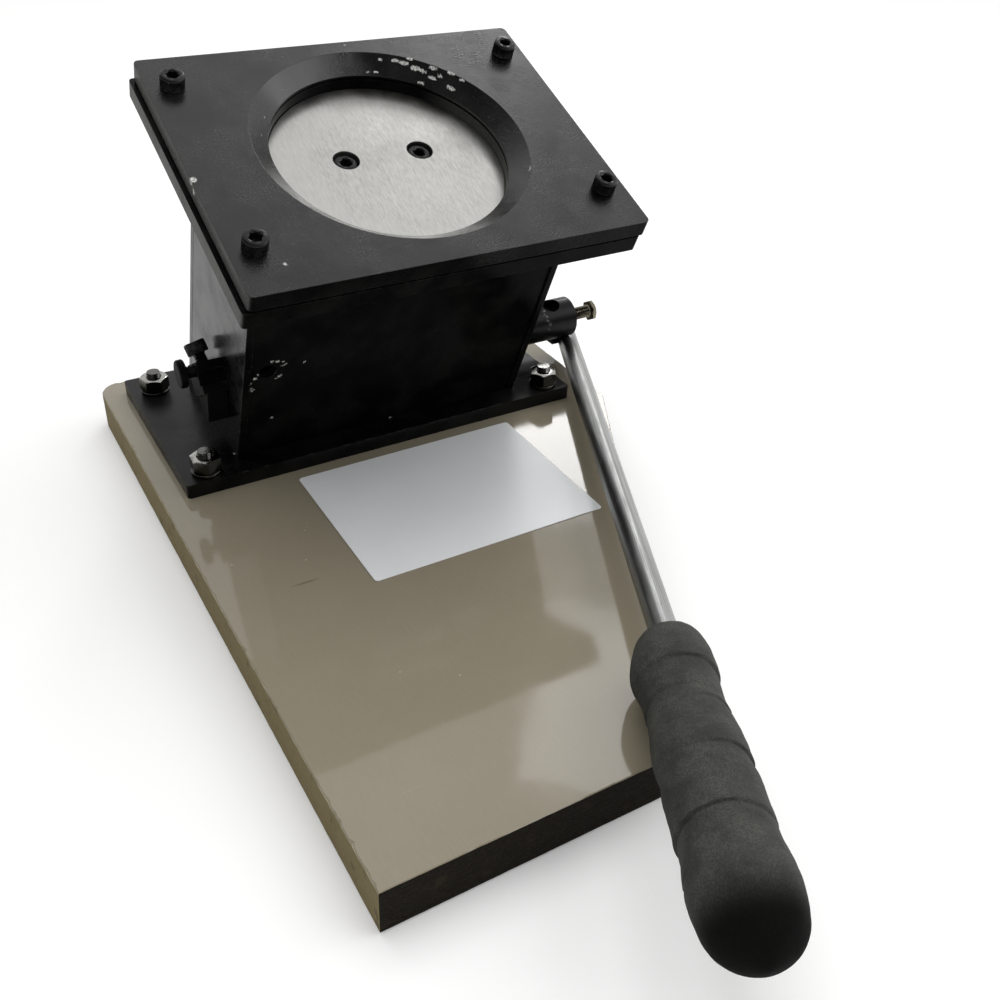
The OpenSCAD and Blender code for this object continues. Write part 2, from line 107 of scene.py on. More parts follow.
class Tree:
    """An emptied node tree and short ways to add to it."""

    def __init__(self, owner):
        owner.use_nodes = True
        self.tree = owner.node_tree
        self.tree.nodes.clear()

    def node(self, kind, **settings):
        made = self.tree.nodes.new(kind)
        for key, value in settings.items():
            setattr(made, key, value)
        return made

    def join(self, source, target):
        self.tree.links.new(source, target)

    def feed(self, target, value):
        if isinstance(value, bpy.types.NodeSocket):
            self.join(value, target)
        else:
            target.default_value = value

    def math(self, operation, first, second):
        made = self.node("ShaderNodeMath", operation=operation)
        self.feed(made.inputs[0], first)
        self.feed(made.inputs[1], second)
        return made.outputs["Value"]

    def times(self, first, second):
        return self.math("MULTIPLY", first, second)

    def plus(self, first, second):
        return self.math("ADD", first, second)

    def either(self, masks):
        """The largest of some masks, each taken in as it is made."""
        total = None
        for mask in masks:
            total = mask if total is None else self.math("MAXIMUM", total, mask)
        return total

    def vector(self, operation, *values):
        made = self.node("ShaderNodeVectorMath", operation=operation)
        for socket, value in zip(made.inputs, values):
            self.feed(socket, value)
        scalar = operation in ("DISTANCE", "DOT_PRODUCT")
        return made.outputs["Value" if scalar else "Vector"]

    def span(self, value, between, out=(0.0, 1.0)):
        """Goes smoothly from one output to the other as value crosses the range."""
        made = self.node("ShaderNodeMapRange", interpolation_type="SMOOTHSTEP")
        self.join(value, made.inputs["Value"])
        made.inputs["From Min"].default_value, made.inputs["From Max"].default_value = between
        made.inputs["To Min"].default_value, made.inputs["To Max"].default_value = out
        return made.outputs["Result"]

    def mixed(self, kind, sockets, share, first, second):
        made = self.node("ShaderNodeMix", data_type=kind)
        low, high, out = sockets
        self.feed(made.inputs["Factor"], share)
        self.feed(made.inputs[low], first)
        self.feed(made.inputs[high], second)
        return made.outputs[out]

    def mix(self, share, first, second):
        """A colour between two colours."""
        return self.mixed("RGBA", COLOUR_SOCKETS, share, first, second)

    def blend(self, share, first, second):
        """A number between two numbers."""
        return self.mixed("FLOAT", FLOAT_SOCKETS, share, first, second)

    def axis(self, coords, name):
        made = self.node("ShaderNodeSeparateXYZ")
        self.join(coords, made.inputs["Vector"])
        return made.outputs[name]

    def seen(self, rays):
        """One for what is looked at, directly or in a mirror, and zero for what only lights."""
        return self.either(rays[f"Is {kind} Ray"] for kind in SEEN_BY)


class Shader(Tree):
    """One procedural material: a Principled surface and the nodes that feed it."""

    def __init__(self, name, **fixed):
        self.material = bpy.data.materials.new(name)
        super().__init__(self.material)
        out = self.node("ShaderNodeOutputMaterial")
        self.surface = self.node("ShaderNodeBsdfPrincipled")
        self.join(self.surface.outputs["BSDF"], out.inputs["Surface"])
        for key, value in fixed.items():
            self.set(key.replace("_", " "), value)

    def set(self, key, value):
        self.feed(self.surface.inputs[key], value)

    def facing(self):
        """The way a face looks."""
        return self.node("ShaderNodeTexCoord").outputs["Normal"]

    def place(self, matrix=LEVEL):
        """Coordinates in millimetres in a part's own frame."""
        spot, turn, size = matrix.decompose()
        coords = self.node("ShaderNodeTexCoord").outputs["Object"]
        mapping = self.node("ShaderNodeMapping", vector_type="TEXTURE")
        mapping.inputs["Location"].default_value = spot
        mapping.inputs["Rotation"].default_value = turn.to_euler()
        mapping.inputs["Scale"].default_value = size
        self.join(coords, mapping.inputs["Vector"])
        return mapping.outputs["Vector"]

    def grain(self, coords, size, detail, rough=0.55, colour=False):
        """Noise whose features are about size millimetres across."""
        made = self.node("ShaderNodeTexNoise")
        self.join(coords, made.inputs["Vector"])
        made.inputs["Scale"].default_value = 1.0 / size
        made.inputs["Detail"].default_value = detail
        made.inputs["Roughness"].default_value = rough
        return made.outputs["Color" if colour else "Fac"]

    def streaks(self, coords, sizes, detail, rough=0.55, turn=0.0):
        """Noise drawn out to sizes in millimetres along x, y and z."""
        mapping = self.node("ShaderNodeMapping")
        mapping.inputs["Rotation"].default_value = (0, 0, turn)
        mapping.inputs["Scale"].default_value = [1 / size for size in sizes]
        self.join(coords, mapping.inputs["Vector"])
        return self.grain(mapping.outputs["Vector"], 1, detail, rough)

    def tear(self, coords, size, detail, rough):
        """Small moves to every side, for ragged outlines."""
        noisy = self.grain(coords, size, detail, rough, colour=True)
        return self.vector("SUBTRACT", noisy, (0.5, 0.5, 0.5))

    def bump(self, height, depth, normal=None):
        """Relief with a depth in millimetres, on top of another relief's normal if given."""
        made = self.node("ShaderNodeBump")
        made.inputs["Strength"].default_value = 1.0
        made.inputs["Distance"].default_value = depth * MM
        self.join(height, made.inputs["Height"])
        if normal is not None:
            self.join(normal, made.inputs["Normal"])
        return made.outputs["Normal"]

    def worn_edges(self, radius):
        """One along sharp edges and zero on flat faces; the radius is in millimetres."""
        flat, sharp = 0.985, 0.86
        rounded = self.node("ShaderNodeBevel", samples=4)
        rounded.inputs["Radius"].default_value = radius * MM
        plain = self.node("ShaderNodeNewGeometry").outputs["Normal"]
        meet = self.vector("DOT_PRODUCT", rounded.outputs["Normal"], plain)
        return self.span(meet, (flat, sharp))

    def chips(self, coords, spots, ragged):
        """Chips at spots of x, y, z and radius, with ragged outlines and a broken inside."""
        outer, inner = 1.05, 0.8
        shift = self.tear(coords, size=0.9, detail=5, rough=0.75)
        moved = self.vector("MULTIPLY_ADD", shift, (ragged,) * 3, coords)
        total = self.either(
            self.span(self.vector("DISTANCE", moved, spot), (radius * outer, radius * inner))
            for *spot, radius in spots)
        inside = self.grain(coords, size=0.5, detail=3, rough=0.6)
        return self.times(total, self.span(inside, (0.4, 0.52), (0.15, 1.0)))


# Colours of the enamel, linear like all colours here
BLACK = (0.0022, 0.0022, 0.0025, 1)
BLACK_DUSTY = (0.007, 0.007, 0.0068, 1)
DUST = (0.13, 0.13, 0.124, 1)
SPECKS = (0.05, 0.05, 0.049, 1)
BARE = (0.42, 0.42, 0.4, 1)
BARE_DARK = (0.2, 0.19, 0.175, 1)
CHIP = (0.7, 0.7, 0.67, 1)
CHIP_DULL = (0.2, 0.2, 0.19, 1)
FLANK_SHEEN_DARK = (0.04, 0.04, 0.038, 1)
FLANK_SHEEN_PALE = (0.1, 0.1, 0.095, 1)

# Specular levels and reliefs of the enamel
FLANK_SHINE = 0.012
PIT_SHINE = 0.05
STROKE_DEEP = 0.012
CHIP_DEEP = 0.12


def paint(name, matrix, shine, spots=(), gloss=0.2, wear=0.2, ragged=1.2, skin=0.018,
          dusty=0.25, chip=CHIP, under=0.15, flank=False, coarse=1.5, patches=()):
    """Semi-gloss black enamel with dust, soft brush marks, chips and worn edges.

    Faces that look down keep the share of shine given by under, flank gives faces on the left a
    paler grainy colour with little shine, a painted sheen, coarse is the size of the orange peel
    and skin its depth, and patches of x, y, z and radius are grainy places whose pale specks are
    painted glints.
    """
    sh = Shader(name, IOR=1.5)
    facing = sh.facing()
    at = sh.place(matrix)
    cloud = sh.grain(at, size=16, detail=3)
    upward = sh.axis(facing, "Z")
    zone = sh.grain(at, size=26, detail=3)
    peel = sh.times(sh.grain(at, coarse, detail=4, rough=0.6),
                    sh.span(zone, (0.42, 0.6), (0.4, 1.0)))
    strokes = sh.streaks(at, (0.7, 18, 0.7), detail=3)
    dust = sh.span(sh.grain(at, size=0.6, detail=3, rough=0.6), (0.62, 0.74))
    colour = sh.mix(sh.span(cloud, (0.35, 0.7)), BLACK, BLACK_DUSTY)
    level = sh.span(upward, (-0.35, -0.05), (shine * under, shine))
    patchy = sh.times(sh.span(zone, (0.45, 0.6), (dusty * 0.3, dusty)),
                      sh.span(upward, (0.0, 0.5)))
    colour = sh.mix(sh.times(dust, patchy), colour, DUST)
    # Painted glints: pale specks in the grainy patches, over their duller pitted shine
    if patches:
        core = 0.35
        near = sh.either(sh.span(sh.vector("DISTANCE", at, spot), (radius, radius * core))
                         for *spot, radius in patches)
        speck = sh.grain(at, size=0.55, detail=4, rough=0.7)
        glint_specks = sh.times(near, sh.span(speck, (0.52, 0.64), (0, 0.8)))
        colour = sh.mix(glint_specks, colour, SPECKS)
        pitted = sh.times(near, sh.span(speck, (0.44, 0.36), (0, 0.9)))
        level = sh.blend(pitted, level, PIT_SHINE)
    # Painted sheen: faces turned to the left get a paler grainy colour and little shine
    if flank:
        left = sh.span(sh.axis(facing, "X"), (-0.6, -0.95))
        painted_flank_sheen = sh.mix(sh.grain(at, size=2, detail=4, rough=0.65), FLANK_SHEEN_DARK, FLANK_SHEEN_PALE)
        colour = sh.mix(left, colour, painted_flank_sheen)
        level = sh.blend(left, level, FLANK_SHINE)
    sh.set("Specular IOR Level", level)
    edges = sh.times(sh.worn_edges(0.5), sh.span(sh.grain(at, size=5, detail=4), (0.5, 0.62)))
    edges = sh.times(edges, wear)
    colour = sh.mix(edges, colour, sh.mix(sh.grain(at, size=0.8, detail=3), BARE, BARE_DARK))
    sh.set("Metallic", sh.times(edges, 0.7))
    bare = edges
    if spots:
        chipped = sh.chips(at, spots, ragged)
        colour = sh.mix(chipped, colour, chip)
        bare = sh.math("MAXIMUM", edges, chipped)
    sh.set("Base Color", colour)
    sheen = sh.span(cloud, (0.3, 0.75), (gloss - 0.05, gloss + 0.12))
    sheen = sh.plus(sheen, sh.times(sh.span(peel, (0.45, 0.65)), 0.06))
    sh.set("Roughness", sh.blend(bare, sheen, 0.5))
    normal = sh.bump(strokes, STROKE_DEEP, sh.bump(peel, skin))
    sh.set("Normal", sh.bump(sh.times(bare, -1.0), CHIP_DEEP, normal))
    return sh.material


TAUPE = (0.244, 0.214, 0.154, 1)
TAUPE_PALE = (0.282, 0.249, 0.184, 1)
TAUPE_FIBRE = (0.31, 0.278, 0.213, 1)
TAUPE_MARK = (0.42, 0.39, 0.33, 1)
TAUPE_SCUFF = (0.13, 0.112, 0.076, 1)
TAUPE_NICK = (0.5, 0.47, 0.4, 1)
SCUFF_MIDDLE, SCUFF_SIZE = (-67.0, -62.8, BOARD_T), (6.5, 0.7, 1.0)
NICK_RAGGED = 0.8
NICK_SPOTS = [(x, y, BOARD_T, radius) for x, y, radius in (
    (-55.9, -33.8, 0.4), (-62.3, -50.9, 0.45), (-53.5, -30.0, 0.35), (-86.6, -41.3, 0.4),
    (-41.5, -128.8, 0.4), (-57.6, -118.5, 0.35))]


def laminate():
    """Glossy taupe laminate with faint clouds, fine marks and slightly wavy reflections."""
    sh = Shader("laminate_top", IOR=1.5)
    at = sh.place()
    cloud = sh.grain(at, size=38, detail=3)
    fibre = sh.streaks(at, (0.5, 7, 1), detail=4)
    colour = sh.mix(cloud, TAUPE, TAUPE_PALE)
    colour = sh.mix(sh.span(fibre, (0.35, 0.75), (0, 0.22)), colour, TAUPE_FIBRE)
    lines = sh.span(sh.streaks(at, (22, 0.16, 1), detail=2, turn=0.5), (0.72, 0.76))
    specks = sh.span(sh.grain(at, size=1.0, detail=2), (0.74, 0.79))
    marks = sh.times(sh.either((lines, specks)),
                     sh.span(sh.grain(at, size=20, detail=2), (0.45, 0.6)))
    colour = sh.mix(sh.times(marks, 0.45), colour, TAUPE_MARK)
    moved = sh.vector("ADD", at, sh.tear(at, size=2, detail=4, rough=0.6))
    off = sh.vector("DIVIDE", sh.vector("SUBTRACT", moved, SCUFF_MIDDLE), SCUFF_SIZE)
    scuff = sh.span(sh.vector("DISTANCE", off, (0, 0, 0)), (1.0, 0.4), (0, 0.6))
    colour = sh.mix(scuff, colour, TAUPE_SCUFF)
    nicks = sh.times(sh.chips(at, NICK_SPOTS, NICK_RAGGED), 0.7)
    sh.set("Base Color", sh.mix(nicks, colour, TAUPE_NICK))
    rough = sh.span(cloud, (0.3, 0.75), (0.05, 0.11))
    sh.set("Roughness", sh.plus(rough, sh.times(marks, 0.25)))
    waves = sh.bump(sh.grain(at, size=22, detail=2), 0.05)
    sh.set("Normal", sh.bump(fibre, 0.002, waves))
    return sh.material


RAW_DARK = (0.13, 0.1, 0.042, 1)
RAW_PALE = (0.26, 0.215, 0.115, 1)
STAIN_SHADE_DARK = (0.0035, 0.0028, 0.0018, 1)
STAIN_SHADE_PALE = (0.018, 0.014, 0.008, 1)
STAIN = (0.03, 0.024, 0.014, 1)
SKIN_EDGE = (0.46, 0.42, 0.32, 1)
SKIN_LOW, SKIN_HIGH = BOARD_T - 1.0, BOARD_T - 0.85


def board_core():
    """Raw board edge: yellowish on the left, near black on the front and slanted side, stain and
    painted shade.
    """
    sh = Shader("board_core", Specular_IOR_Level=0.08)
    at = sh.place()
    flakes = sh.streaks(at, (2.6, 2.6, 0.9), detail=5, rough=0.65)
    fine = sh.grain(at, size=0.5, detail=4, rough=0.6)
    stain = sh.grain(at, size=7, detail=5, rough=0.6)
    raw = sh.mix(flakes, RAW_DARK, RAW_PALE)
    # Painted shade: the front and the slanted side get a near-black colour, partly stain and partly
    # the shade they face
    stain_and_shade = sh.mix(flakes, STAIN_SHADE_DARK, STAIN_SHADE_PALE)
    sideways = sh.axis(sh.facing(), "X")
    left = sh.span(sh.plus(sideways, sh.times(stain, 0.2)), (-0.35, -0.6))
    colour = sh.mix(left, stain_and_shade, raw)
    colour = sh.mix(sh.span(stain, (0.56, 0.72), (0, 0.55)), colour, STAIN)
    # The laminate's own edge shows as a broken pale line on the left
    skin = sh.times(sh.span(sh.axis(at, "Z"), (SKIN_LOW, SKIN_HIGH)),
                    sh.span(stain, (0.36, 0.6), (0.95, 0.35)))
    sh.set("Base Color", sh.mix(sh.times(skin, left), colour, SKIN_EDGE))
    sh.set("Roughness", sh.span(fine, (0.3, 0.7), (0.62, 0.85)))
    sh.set("Normal", sh.bump(fine, 0.05, sh.bump(flakes, 0.25)))
    return sh.material


FOIL_DARK = (0.8, 0.815, 0.825, 1)
FOIL_PALE = (0.87, 0.885, 0.895, 1)
FOIL_LINE = (0.9, 0.91, 0.92, 1)


def foil():
    """Thin silver foil: bright, satin, with faint rolling lines and soft dents."""
    sh = Shader("foil", Metallic=0.06)
    at = sh.place()
    lines = sh.streaks(at, (30, 0.22, 1), detail=3, turn=0.35)
    cloud = sh.grain(at, size=24, detail=3)
    colour = sh.mix(cloud, FOIL_DARK, FOIL_PALE)
    sh.set("Base Color", sh.mix(sh.span(lines, (0.3, 0.8), (0, 0.35)), colour, FOIL_LINE))
    sh.set("Roughness", sh.span(cloud, (0.3, 0.7), (0.4, 0.5)))
    dents = sh.bump(sh.grain(at, size=12, detail=2), 0.06)
    sh.set("Normal", sh.bump(lines, 0.002, dents))
    return sh.material


ZINC_BRIGHT, ZINC_BRIGHT_WARMTH = (0.36, 0.355, 0.335), (0.06, 0.08, 0.13)
ZINC_DEEP, ZINC_DEEP_WARMTH = (0.1, 0.092, 0.078), (0.0, 0.0, 0.03)
ZINC_SIDE_SHADE = (0.02, 0.019, 0.017, 1)


def zinc(name, warm=0.0, tone=1.0, side_shade=0.0):
    """Zinc plate: pale grey, a little cloudy and dull in places."""
    def toned(colour, warmth):
        return [tone * (c - w * warm) for c, w in zip(colour, warmth)] + [1]

    sh = Shader(name, Metallic=1.0)
    at = sh.place()
    cloud = sh.grain(at, size=2.2, detail=5, rough=0.6)
    colour = sh.mix(sh.span(cloud, (0.5, 0.72)), toned(ZINC_BRIGHT, ZINC_BRIGHT_WARMTH),
                    toned(ZINC_DEEP, ZINC_DEEP_WARMTH))
    if side_shade:
        # Painted shade: upright sides darker than the top, standing in for a dark reflection
        upward = sh.axis(sh.facing(), "Z")
        colour = sh.mix(sh.span(upward, (0.35, 0.1), (0, side_shade)), colour, ZINC_SIDE_SHADE)
    sh.set("Base Color", colour)
    sh.set("Roughness", sh.span(cloud, (0.3, 0.75), (0.09, 0.24)))
    sh.set("Normal", sh.bump(sh.grain(at, size=0.4, detail=3), 0.012))
    return sh.material


OXIDE_DARK = (0.003, 0.003, 0.0033, 1)
OXIDE_PALE = (0.01, 0.01, 0.01, 1)
OXIDE_RUBBED = (0.25, 0.25, 0.24, 1)


def black_oxide():
    """Blackened screw steel with an oily sheen and rubbed edges."""
    sh = Shader("black_oxide", IOR=1.5, Specular_IOR_Level=0.25)
    at = sh.place()
    cloud = sh.grain(at, size=1.8, detail=4)
    rub = sh.times(sh.worn_edges(0.25), sh.span(sh.grain(at, size=2.5, detail=3), (0.48, 0.62)))
    colour = sh.mix(cloud, OXIDE_DARK, OXIDE_PALE)
    sh.set("Base Color", sh.mix(sh.times(rub, 0.5), colour, OXIDE_RUBBED))
    sh.set("Metallic", sh.times(rub, 0.6))
    sh.set("Roughness", sh.span(cloud, (0.3, 0.7), (0.2, 0.34)))
    sh.set("Normal", sh.bump(sh.grain(at, size=0.3, detail=3), 0.012))
    return sh.material


GROUND_DARK = (0.33, 0.325, 0.31, 1)
GROUND_PALE = (0.63, 0.625, 0.605, 1)
GROUND_DASH = (0.33, 0.325, 0.308, 1)
GROUND_PIT = (0.2, 0.19, 0.17, 1)
GRIND_LEAN = math.radians(9)
DULL_REFLECTION_ZONE, DULL_REFLECTION_OUTER, DULL_REFLECTION_INNER, DULL_REFLECTION_RAGGED = (5.0, -2.0, -11.0), 44, 36, 14


def ground_steel():
    """Surface-ground steel: fine lines front to back, with burnished and dull zones; the dull
    zone's darker dashes are partly a painted dark reflection.
    """
    sh = Shader("ground_steel", Metallic=1.0)
    at = sh.place(HEAD)
    fine = sh.streaks(at, (0.28, 5, 3), detail=4, rough=0.6, turn=GRIND_LEAN)
    coarse = sh.streaks(at, (0.45, 3, 3), detail=4, rough=0.6, turn=-GRIND_LEAN)
    cloud = sh.grain(at, size=20, detail=3)
    pits = sh.span(sh.grain(at, size=0.7, detail=2), (0.73, 0.78))
    # Painted reflection in part: a ragged zone over most of the face where darker dashes show more
    ragged = sh.times(sh.grain(at, size=7, detail=4), DULL_REFLECTION_RAGGED)
    far = sh.plus(sh.vector("DISTANCE", at, DULL_REFLECTION_ZONE), ragged)
    zone = sh.span(far, (DULL_REFLECTION_OUTER, DULL_REFLECTION_INNER))
    colour = sh.mix(fine, GROUND_DARK, GROUND_PALE)
    strokes = sh.times(sh.span(coarse, (0.4, 0.68)), sh.blend(zone, 0.12, 0.6))
    colour = sh.mix(strokes, colour, GROUND_DASH)
    sh.set("Base Color", sh.mix(sh.times(pits, 0.5), colour, GROUND_PIT))
    rough = sh.span(cloud, (0.35, 0.65), (0.24, 0.36))
    sh.set("Roughness", sh.plus(rough, sh.times(coarse, 0.1)))
    normal = sh.bump(sh.times(coarse, sh.blend(zone, 0.5, 1.0)), 0.025)
    sh.set("Normal", sh.bump(fine, 0.004, normal))
    return sh.material


STEEL_PALE = (0.4, 0.395, 0.38, 1)
STEEL_DEEP = (0.2, 0.19, 0.175, 1)


def plain_steel():
    """Mill-finish steel with a thin oil film, for the parts inside the housing."""
    sh = Shader("plain_steel")
    at = sh.place(HEAD)
    cloud = sh.grain(at, size=6, detail=5, rough=0.6)
    lines = sh.streaks(at, (8, 8, 0.4), detail=3)
    colour = sh.mix(sh.span(cloud, (0.35, 0.7)), STEEL_PALE, STEEL_DEEP)
    sh.set("Base Color", sh.mix(sh.span(lines, (0.4, 0.8), (0, 0.3)), colour, STEEL_PALE))
    sh.set("Metallic", sh.span(cloud, (0.3, 0.8), (1.0, 0.7)))
    sh.set("Roughness", sh.span(cloud, (0.3, 0.7), (0.3, 0.5)))
    sh.set("Normal", sh.bump(lines, 0.01))
    return sh.material


BRONZE_PALE = (0.2, 0.125, 0.045, 1)
BRONZE_DARK = (0.06, 0.04, 0.018, 1)
BRONZE_RING = (0.26, 0.17, 0.07, 1)


def bronze():
    """Turned bronze with fine rings and a browned film."""
    sh = Shader("bronze")
    at = sh.place()
    cloud = sh.grain(at, size=3, detail=4)
    rings = sh.streaks(at, (0.2, 5, 5), detail=2)
    colour = sh.mix(cloud, BRONZE_PALE, BRONZE_DARK)
    sh.set("Base Color", sh.mix(sh.span(rings, (0.4, 0.8), (0, 0.3)), colour, BRONZE_RING))
    sh.set("Metallic", sh.span(cloud, (0.3, 0.8), (1.0, 0.8)))
    sh.set("Roughness", sh.span(cloud, (0.3, 0.7), (0.25, 0.4)))
    sh.set("Normal", sh.bump(rings, 0.006))
    return sh.material


CHROME_DARK = (0.26, 0.265, 0.26, 1)
CHROME_PALE = (0.47, 0.475, 0.47, 1)
CHROME_FLECK = (0.2, 0.19, 0.17, 1)


def chrome():
    """Drawn rod with worn chrome: satin, with lines along it, smudges and a few dull flecks."""
    sh = Shader("chrome")
    at = sh.place(ROD)
    lines = sh.streaks(at, (0.35, 0.35, 60), detail=3)
    smudge = sh.streaks(at, (5, 5, 16), detail=4)
    flecks = sh.span(sh.streaks(at, (1, 1, 2.5), detail=3), (0.7, 0.76))
    colour = sh.mix(sh.span(lines, (0.3, 0.75)), CHROME_DARK, CHROME_PALE)
    sh.set("Base Color", sh.mix(sh.times(flecks, 0.7), colour, CHROME_FLECK))
    sh.set("Metallic", sh.span(flecks, (0, 1), (1.0, 0.6)))
    rough = sh.span(smudge, (0.35, 0.75), (0.36, 0.5))
    sh.set("Roughness", sh.plus(rough, sh.times(flecks, 0.3)))
    sh.set("Normal", sh.bump(lines, 0.004))
    return sh.material


FOAM_DARK = (0.04, 0.041, 0.038, 1)
FOAM_PALE = (0.08, 0.081, 0.073, 1)
FOAM_SMEAR = (0.1, 0.1, 0.088, 1)
FOAM_PORE = (0.018, 0.018, 0.017, 1)
FOAM_END_SHADE = (0.003, 0.003, 0.0028, 1)
FOAM_SHADE_FROM, FOAM_SHADE_TO = 312, 326
FOAM_SHINE, FOAM_SHADE_SHINE = 0.25, 0.06


def foam():
    """Closed-cell foam rubber: matt grey-black with pores and smears, and an end near black, a
    painted shade.
    """
    sh = Shader("foam")
    at = sh.place(ROD)
    pores = sh.grain(at, size=0.45, detail=4, rough=0.65)
    cloud = sh.grain(at, size=9, detail=4, rough=0.6)
    smear = sh.streaks(at, (6, 6, 3), detail=5, rough=0.65)
    colour = sh.mix(sh.span(cloud, (0.3, 0.7)), FOAM_DARK, FOAM_PALE)
    colour = sh.mix(sh.span(smear, (0.5, 0.75), (0, 0.5)), colour, FOAM_SMEAR)
    colour = sh.mix(sh.span(pores, (0.6, 0.42), (0, 0.5)), colour, FOAM_PORE)
    # Painted shade: the grip's end turns near black and loses most of its shine
    end = sh.times(sh.span(sh.axis(at, "Z"), (FOAM_SHADE_FROM, FOAM_SHADE_TO)), 0.95)
    sh.set("Base Color", sh.mix(end, colour, FOAM_END_SHADE))
    sh.set("Specular IOR Level", sh.blend(end, FOAM_SHINE, FOAM_SHADE_SHINE))
    sh.set("Roughness", sh.span(cloud, (0.3, 0.7), (0.78, 0.93)))
    sh.set("Normal", sh.bump(pores, 0.06, sh.bump(smear, 0.12)))
    return sh.material


# Shapes

THREAD_STEPS = 6
SAME_POINT = 1e-7


def circle(radius, z, count, centre=(0.0, 0.0)):
    step = 2 * math.pi / count
    return [(centre[0] + radius * math.cos(i * step), centre[1] + radius * math.sin(i * step), z)
            for i in range(count)]


def lathe(profile, count):
    """Circles for a profile of radius and height."""
    return [circle(radius, z, count) for radius, z in profile]


def hexagon(flats, z, count, chamfer=0.0, rise=0.0):
    """A hexagon ring; beyond the chamfer's radius it bends away by rise for each millimetre."""
    sixth = math.pi / 3
    ring = []
    for i in range(count):
        angle = 2 * math.pi * i / count
        radius = flats / 2 / math.cos(angle % sixth - sixth / 2)
        bend = max(0.0, radius - chamfer) * rise
        ring.append((radius * math.cos(angle), radius * math.sin(angle), z + bend))
    return ring


def knurled(outer, depth, z, count):
    """A ring with a groove at every other point."""
    step = 2 * math.pi / count
    ring = []
    for i in range(count):
        radius = outer - depth * (i % 2)
        ring.append((radius * math.cos(i * step), radius * math.sin(i * step), z))
    return ring


def threaded(major, depth, pitch, low, high, count):
    """Rings of a screw thread from low to high."""
    steps = max(2, round((high - low) / pitch * THREAD_STEPS))
    rings = []
    for k in range(steps + 1):
        z = low + (high - low) * k / steps
        ring = []
        for i in range(count):
            angle = 2 * math.pi * i / count
            phase = (z / pitch - i / count) % 1.0
            radius = major - depth * abs(2 * phase - 1)
            ring.append((radius * math.cos(angle), radius * math.sin(angle), z))
        rings.append(ring)
    return rings


class Shape:
    """Points and faces of one piece, in metres in the shared frame."""

    def __init__(self):
        self.points = []
        self.faces = []
        self.marks = []

    def add(self, matrix, points):
        first = len(self.points)
        self.points += [matrix @ Vector(p) for p in points]
        return list(range(first, len(self.points)))

    def face(self, corners, mark=0):
        self.faces.append(corners)
        self.marks.append(mark)

    def skin(self, lower, upper, mark=0):
        count = len(lower)
        for i in range(count):
            j = (i + 1) % count
            self.face((lower[i], lower[j], upper[j], upper[i]), mark)

    def fan(self, ring, tip):
        for i in range(len(ring)):
            self.face((ring[i], ring[(i + 1) % len(ring)], tip))

    def stack(self, matrix, rings, low_tip=None, high_tip=None, loop=False):
        """A shell through rings; tips close its ends, and loop joins the last ring to the first."""
        made = [self.add(matrix, ring) for ring in rings]
        for lower, upper in zip(made, made[1:]):
            self.skin(lower, upper)
        if loop:
            self.skin(made[-1], made[0])
        if low_tip is not None:
            self.fan(made[0][::-1], self.add(matrix, [low_tip])[0])
        if high_tip is not None:
            self.fan(made[-1], self.add(matrix, [high_tip])[0])

    def piece(self, name, body, slot, materials, stands_for, sharp=38):
        """The finished object; edges that bend by more than sharp degrees stay sharp."""
        mesh = bpy.data.meshes.new(name)
        mesh.from_pydata(self.points, [], self.faces)
        mesh.polygons.foreach_set("material_index", self.marks)
        made = bmesh.new()
        made.from_mesh(mesh)
        bmesh.ops.remove_doubles(made, verts=made.verts, dist=SAME_POINT)
        bmesh.ops.recalc_face_normals(made, faces=made.faces)
        made.to_mesh(mesh)
        made.free()
        mesh.shade_smooth()
        mesh.set_sharp_from_angle(angle=math.radians(sharp))
        thing = bpy.data.objects.new(name, mesh)
        bpy.context.scene.collection.objects.link(thing)
        for material in materials:
            mesh.materials.append(material)
        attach(thing, body)
        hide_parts(*stands_for)
        return thing


CAP_R, CAP_H, CAP_SHANK = 4.25, 5.0, 2.5
CAP_PITCH, CAP_GROOVE = 0.8, 0.42
CAP_TIP, CAP_PLAIN = 0.5, 0.6
KNURLS, KNURL_DEEP = 96, 0.22
KNURL_LOW, KNURL_HIGH = 0.7, CAP_H - 1.0
KEY = 4.0
KEY_MOUTH_R = KEY * 0.62
KEY_TOP, KEY_FLOOR, KEY_TIP = CAP_H - 0.35, CAP_H - 2.6, CAP_H - 3.2
CAP_SEAT = [(CAP_SHANK, 0), (CAP_R - 0.3, 0), (CAP_R, 0.35)]
CAP_DOME = [(CAP_R - 0.02, KNURL_HIGH + 0.25), (CAP_R - 0.14, CAP_H - 0.28),
            (CAP_R - 0.5, CAP_H), (KEY_MOUTH_R, CAP_H)]


def cap_screw(shape, matrix, length, cut=False):
    """A socket head screw with a knurled head, its seat at z = 0 and its shank downwards."""
    if cut:
        shank = threaded(CAP_SHANK, CAP_GROOVE, CAP_PITCH, -length, -CAP_PLAIN, KNURLS)
    else:
        shank = lathe([(CAP_SHANK - CAP_TIP, -length), (CAP_SHANK, -length + CAP_TIP)], KNURLS)
    knurls = [knurled(CAP_R, KNURL_DEEP, z, KNURLS) for z in (KNURL_LOW, KNURL_HIGH)]
    socket = [hexagon(KEY, z, KNURLS) for z in (KEY_TOP, KEY_FLOOR)]
    rings = shank + lathe(CAP_SEAT, KNURLS) + knurls + lathe(CAP_DOME, KNURLS) + socket
    shape.stack(matrix, rings, (0, 0, -length), (0, 0, KEY_TIP))


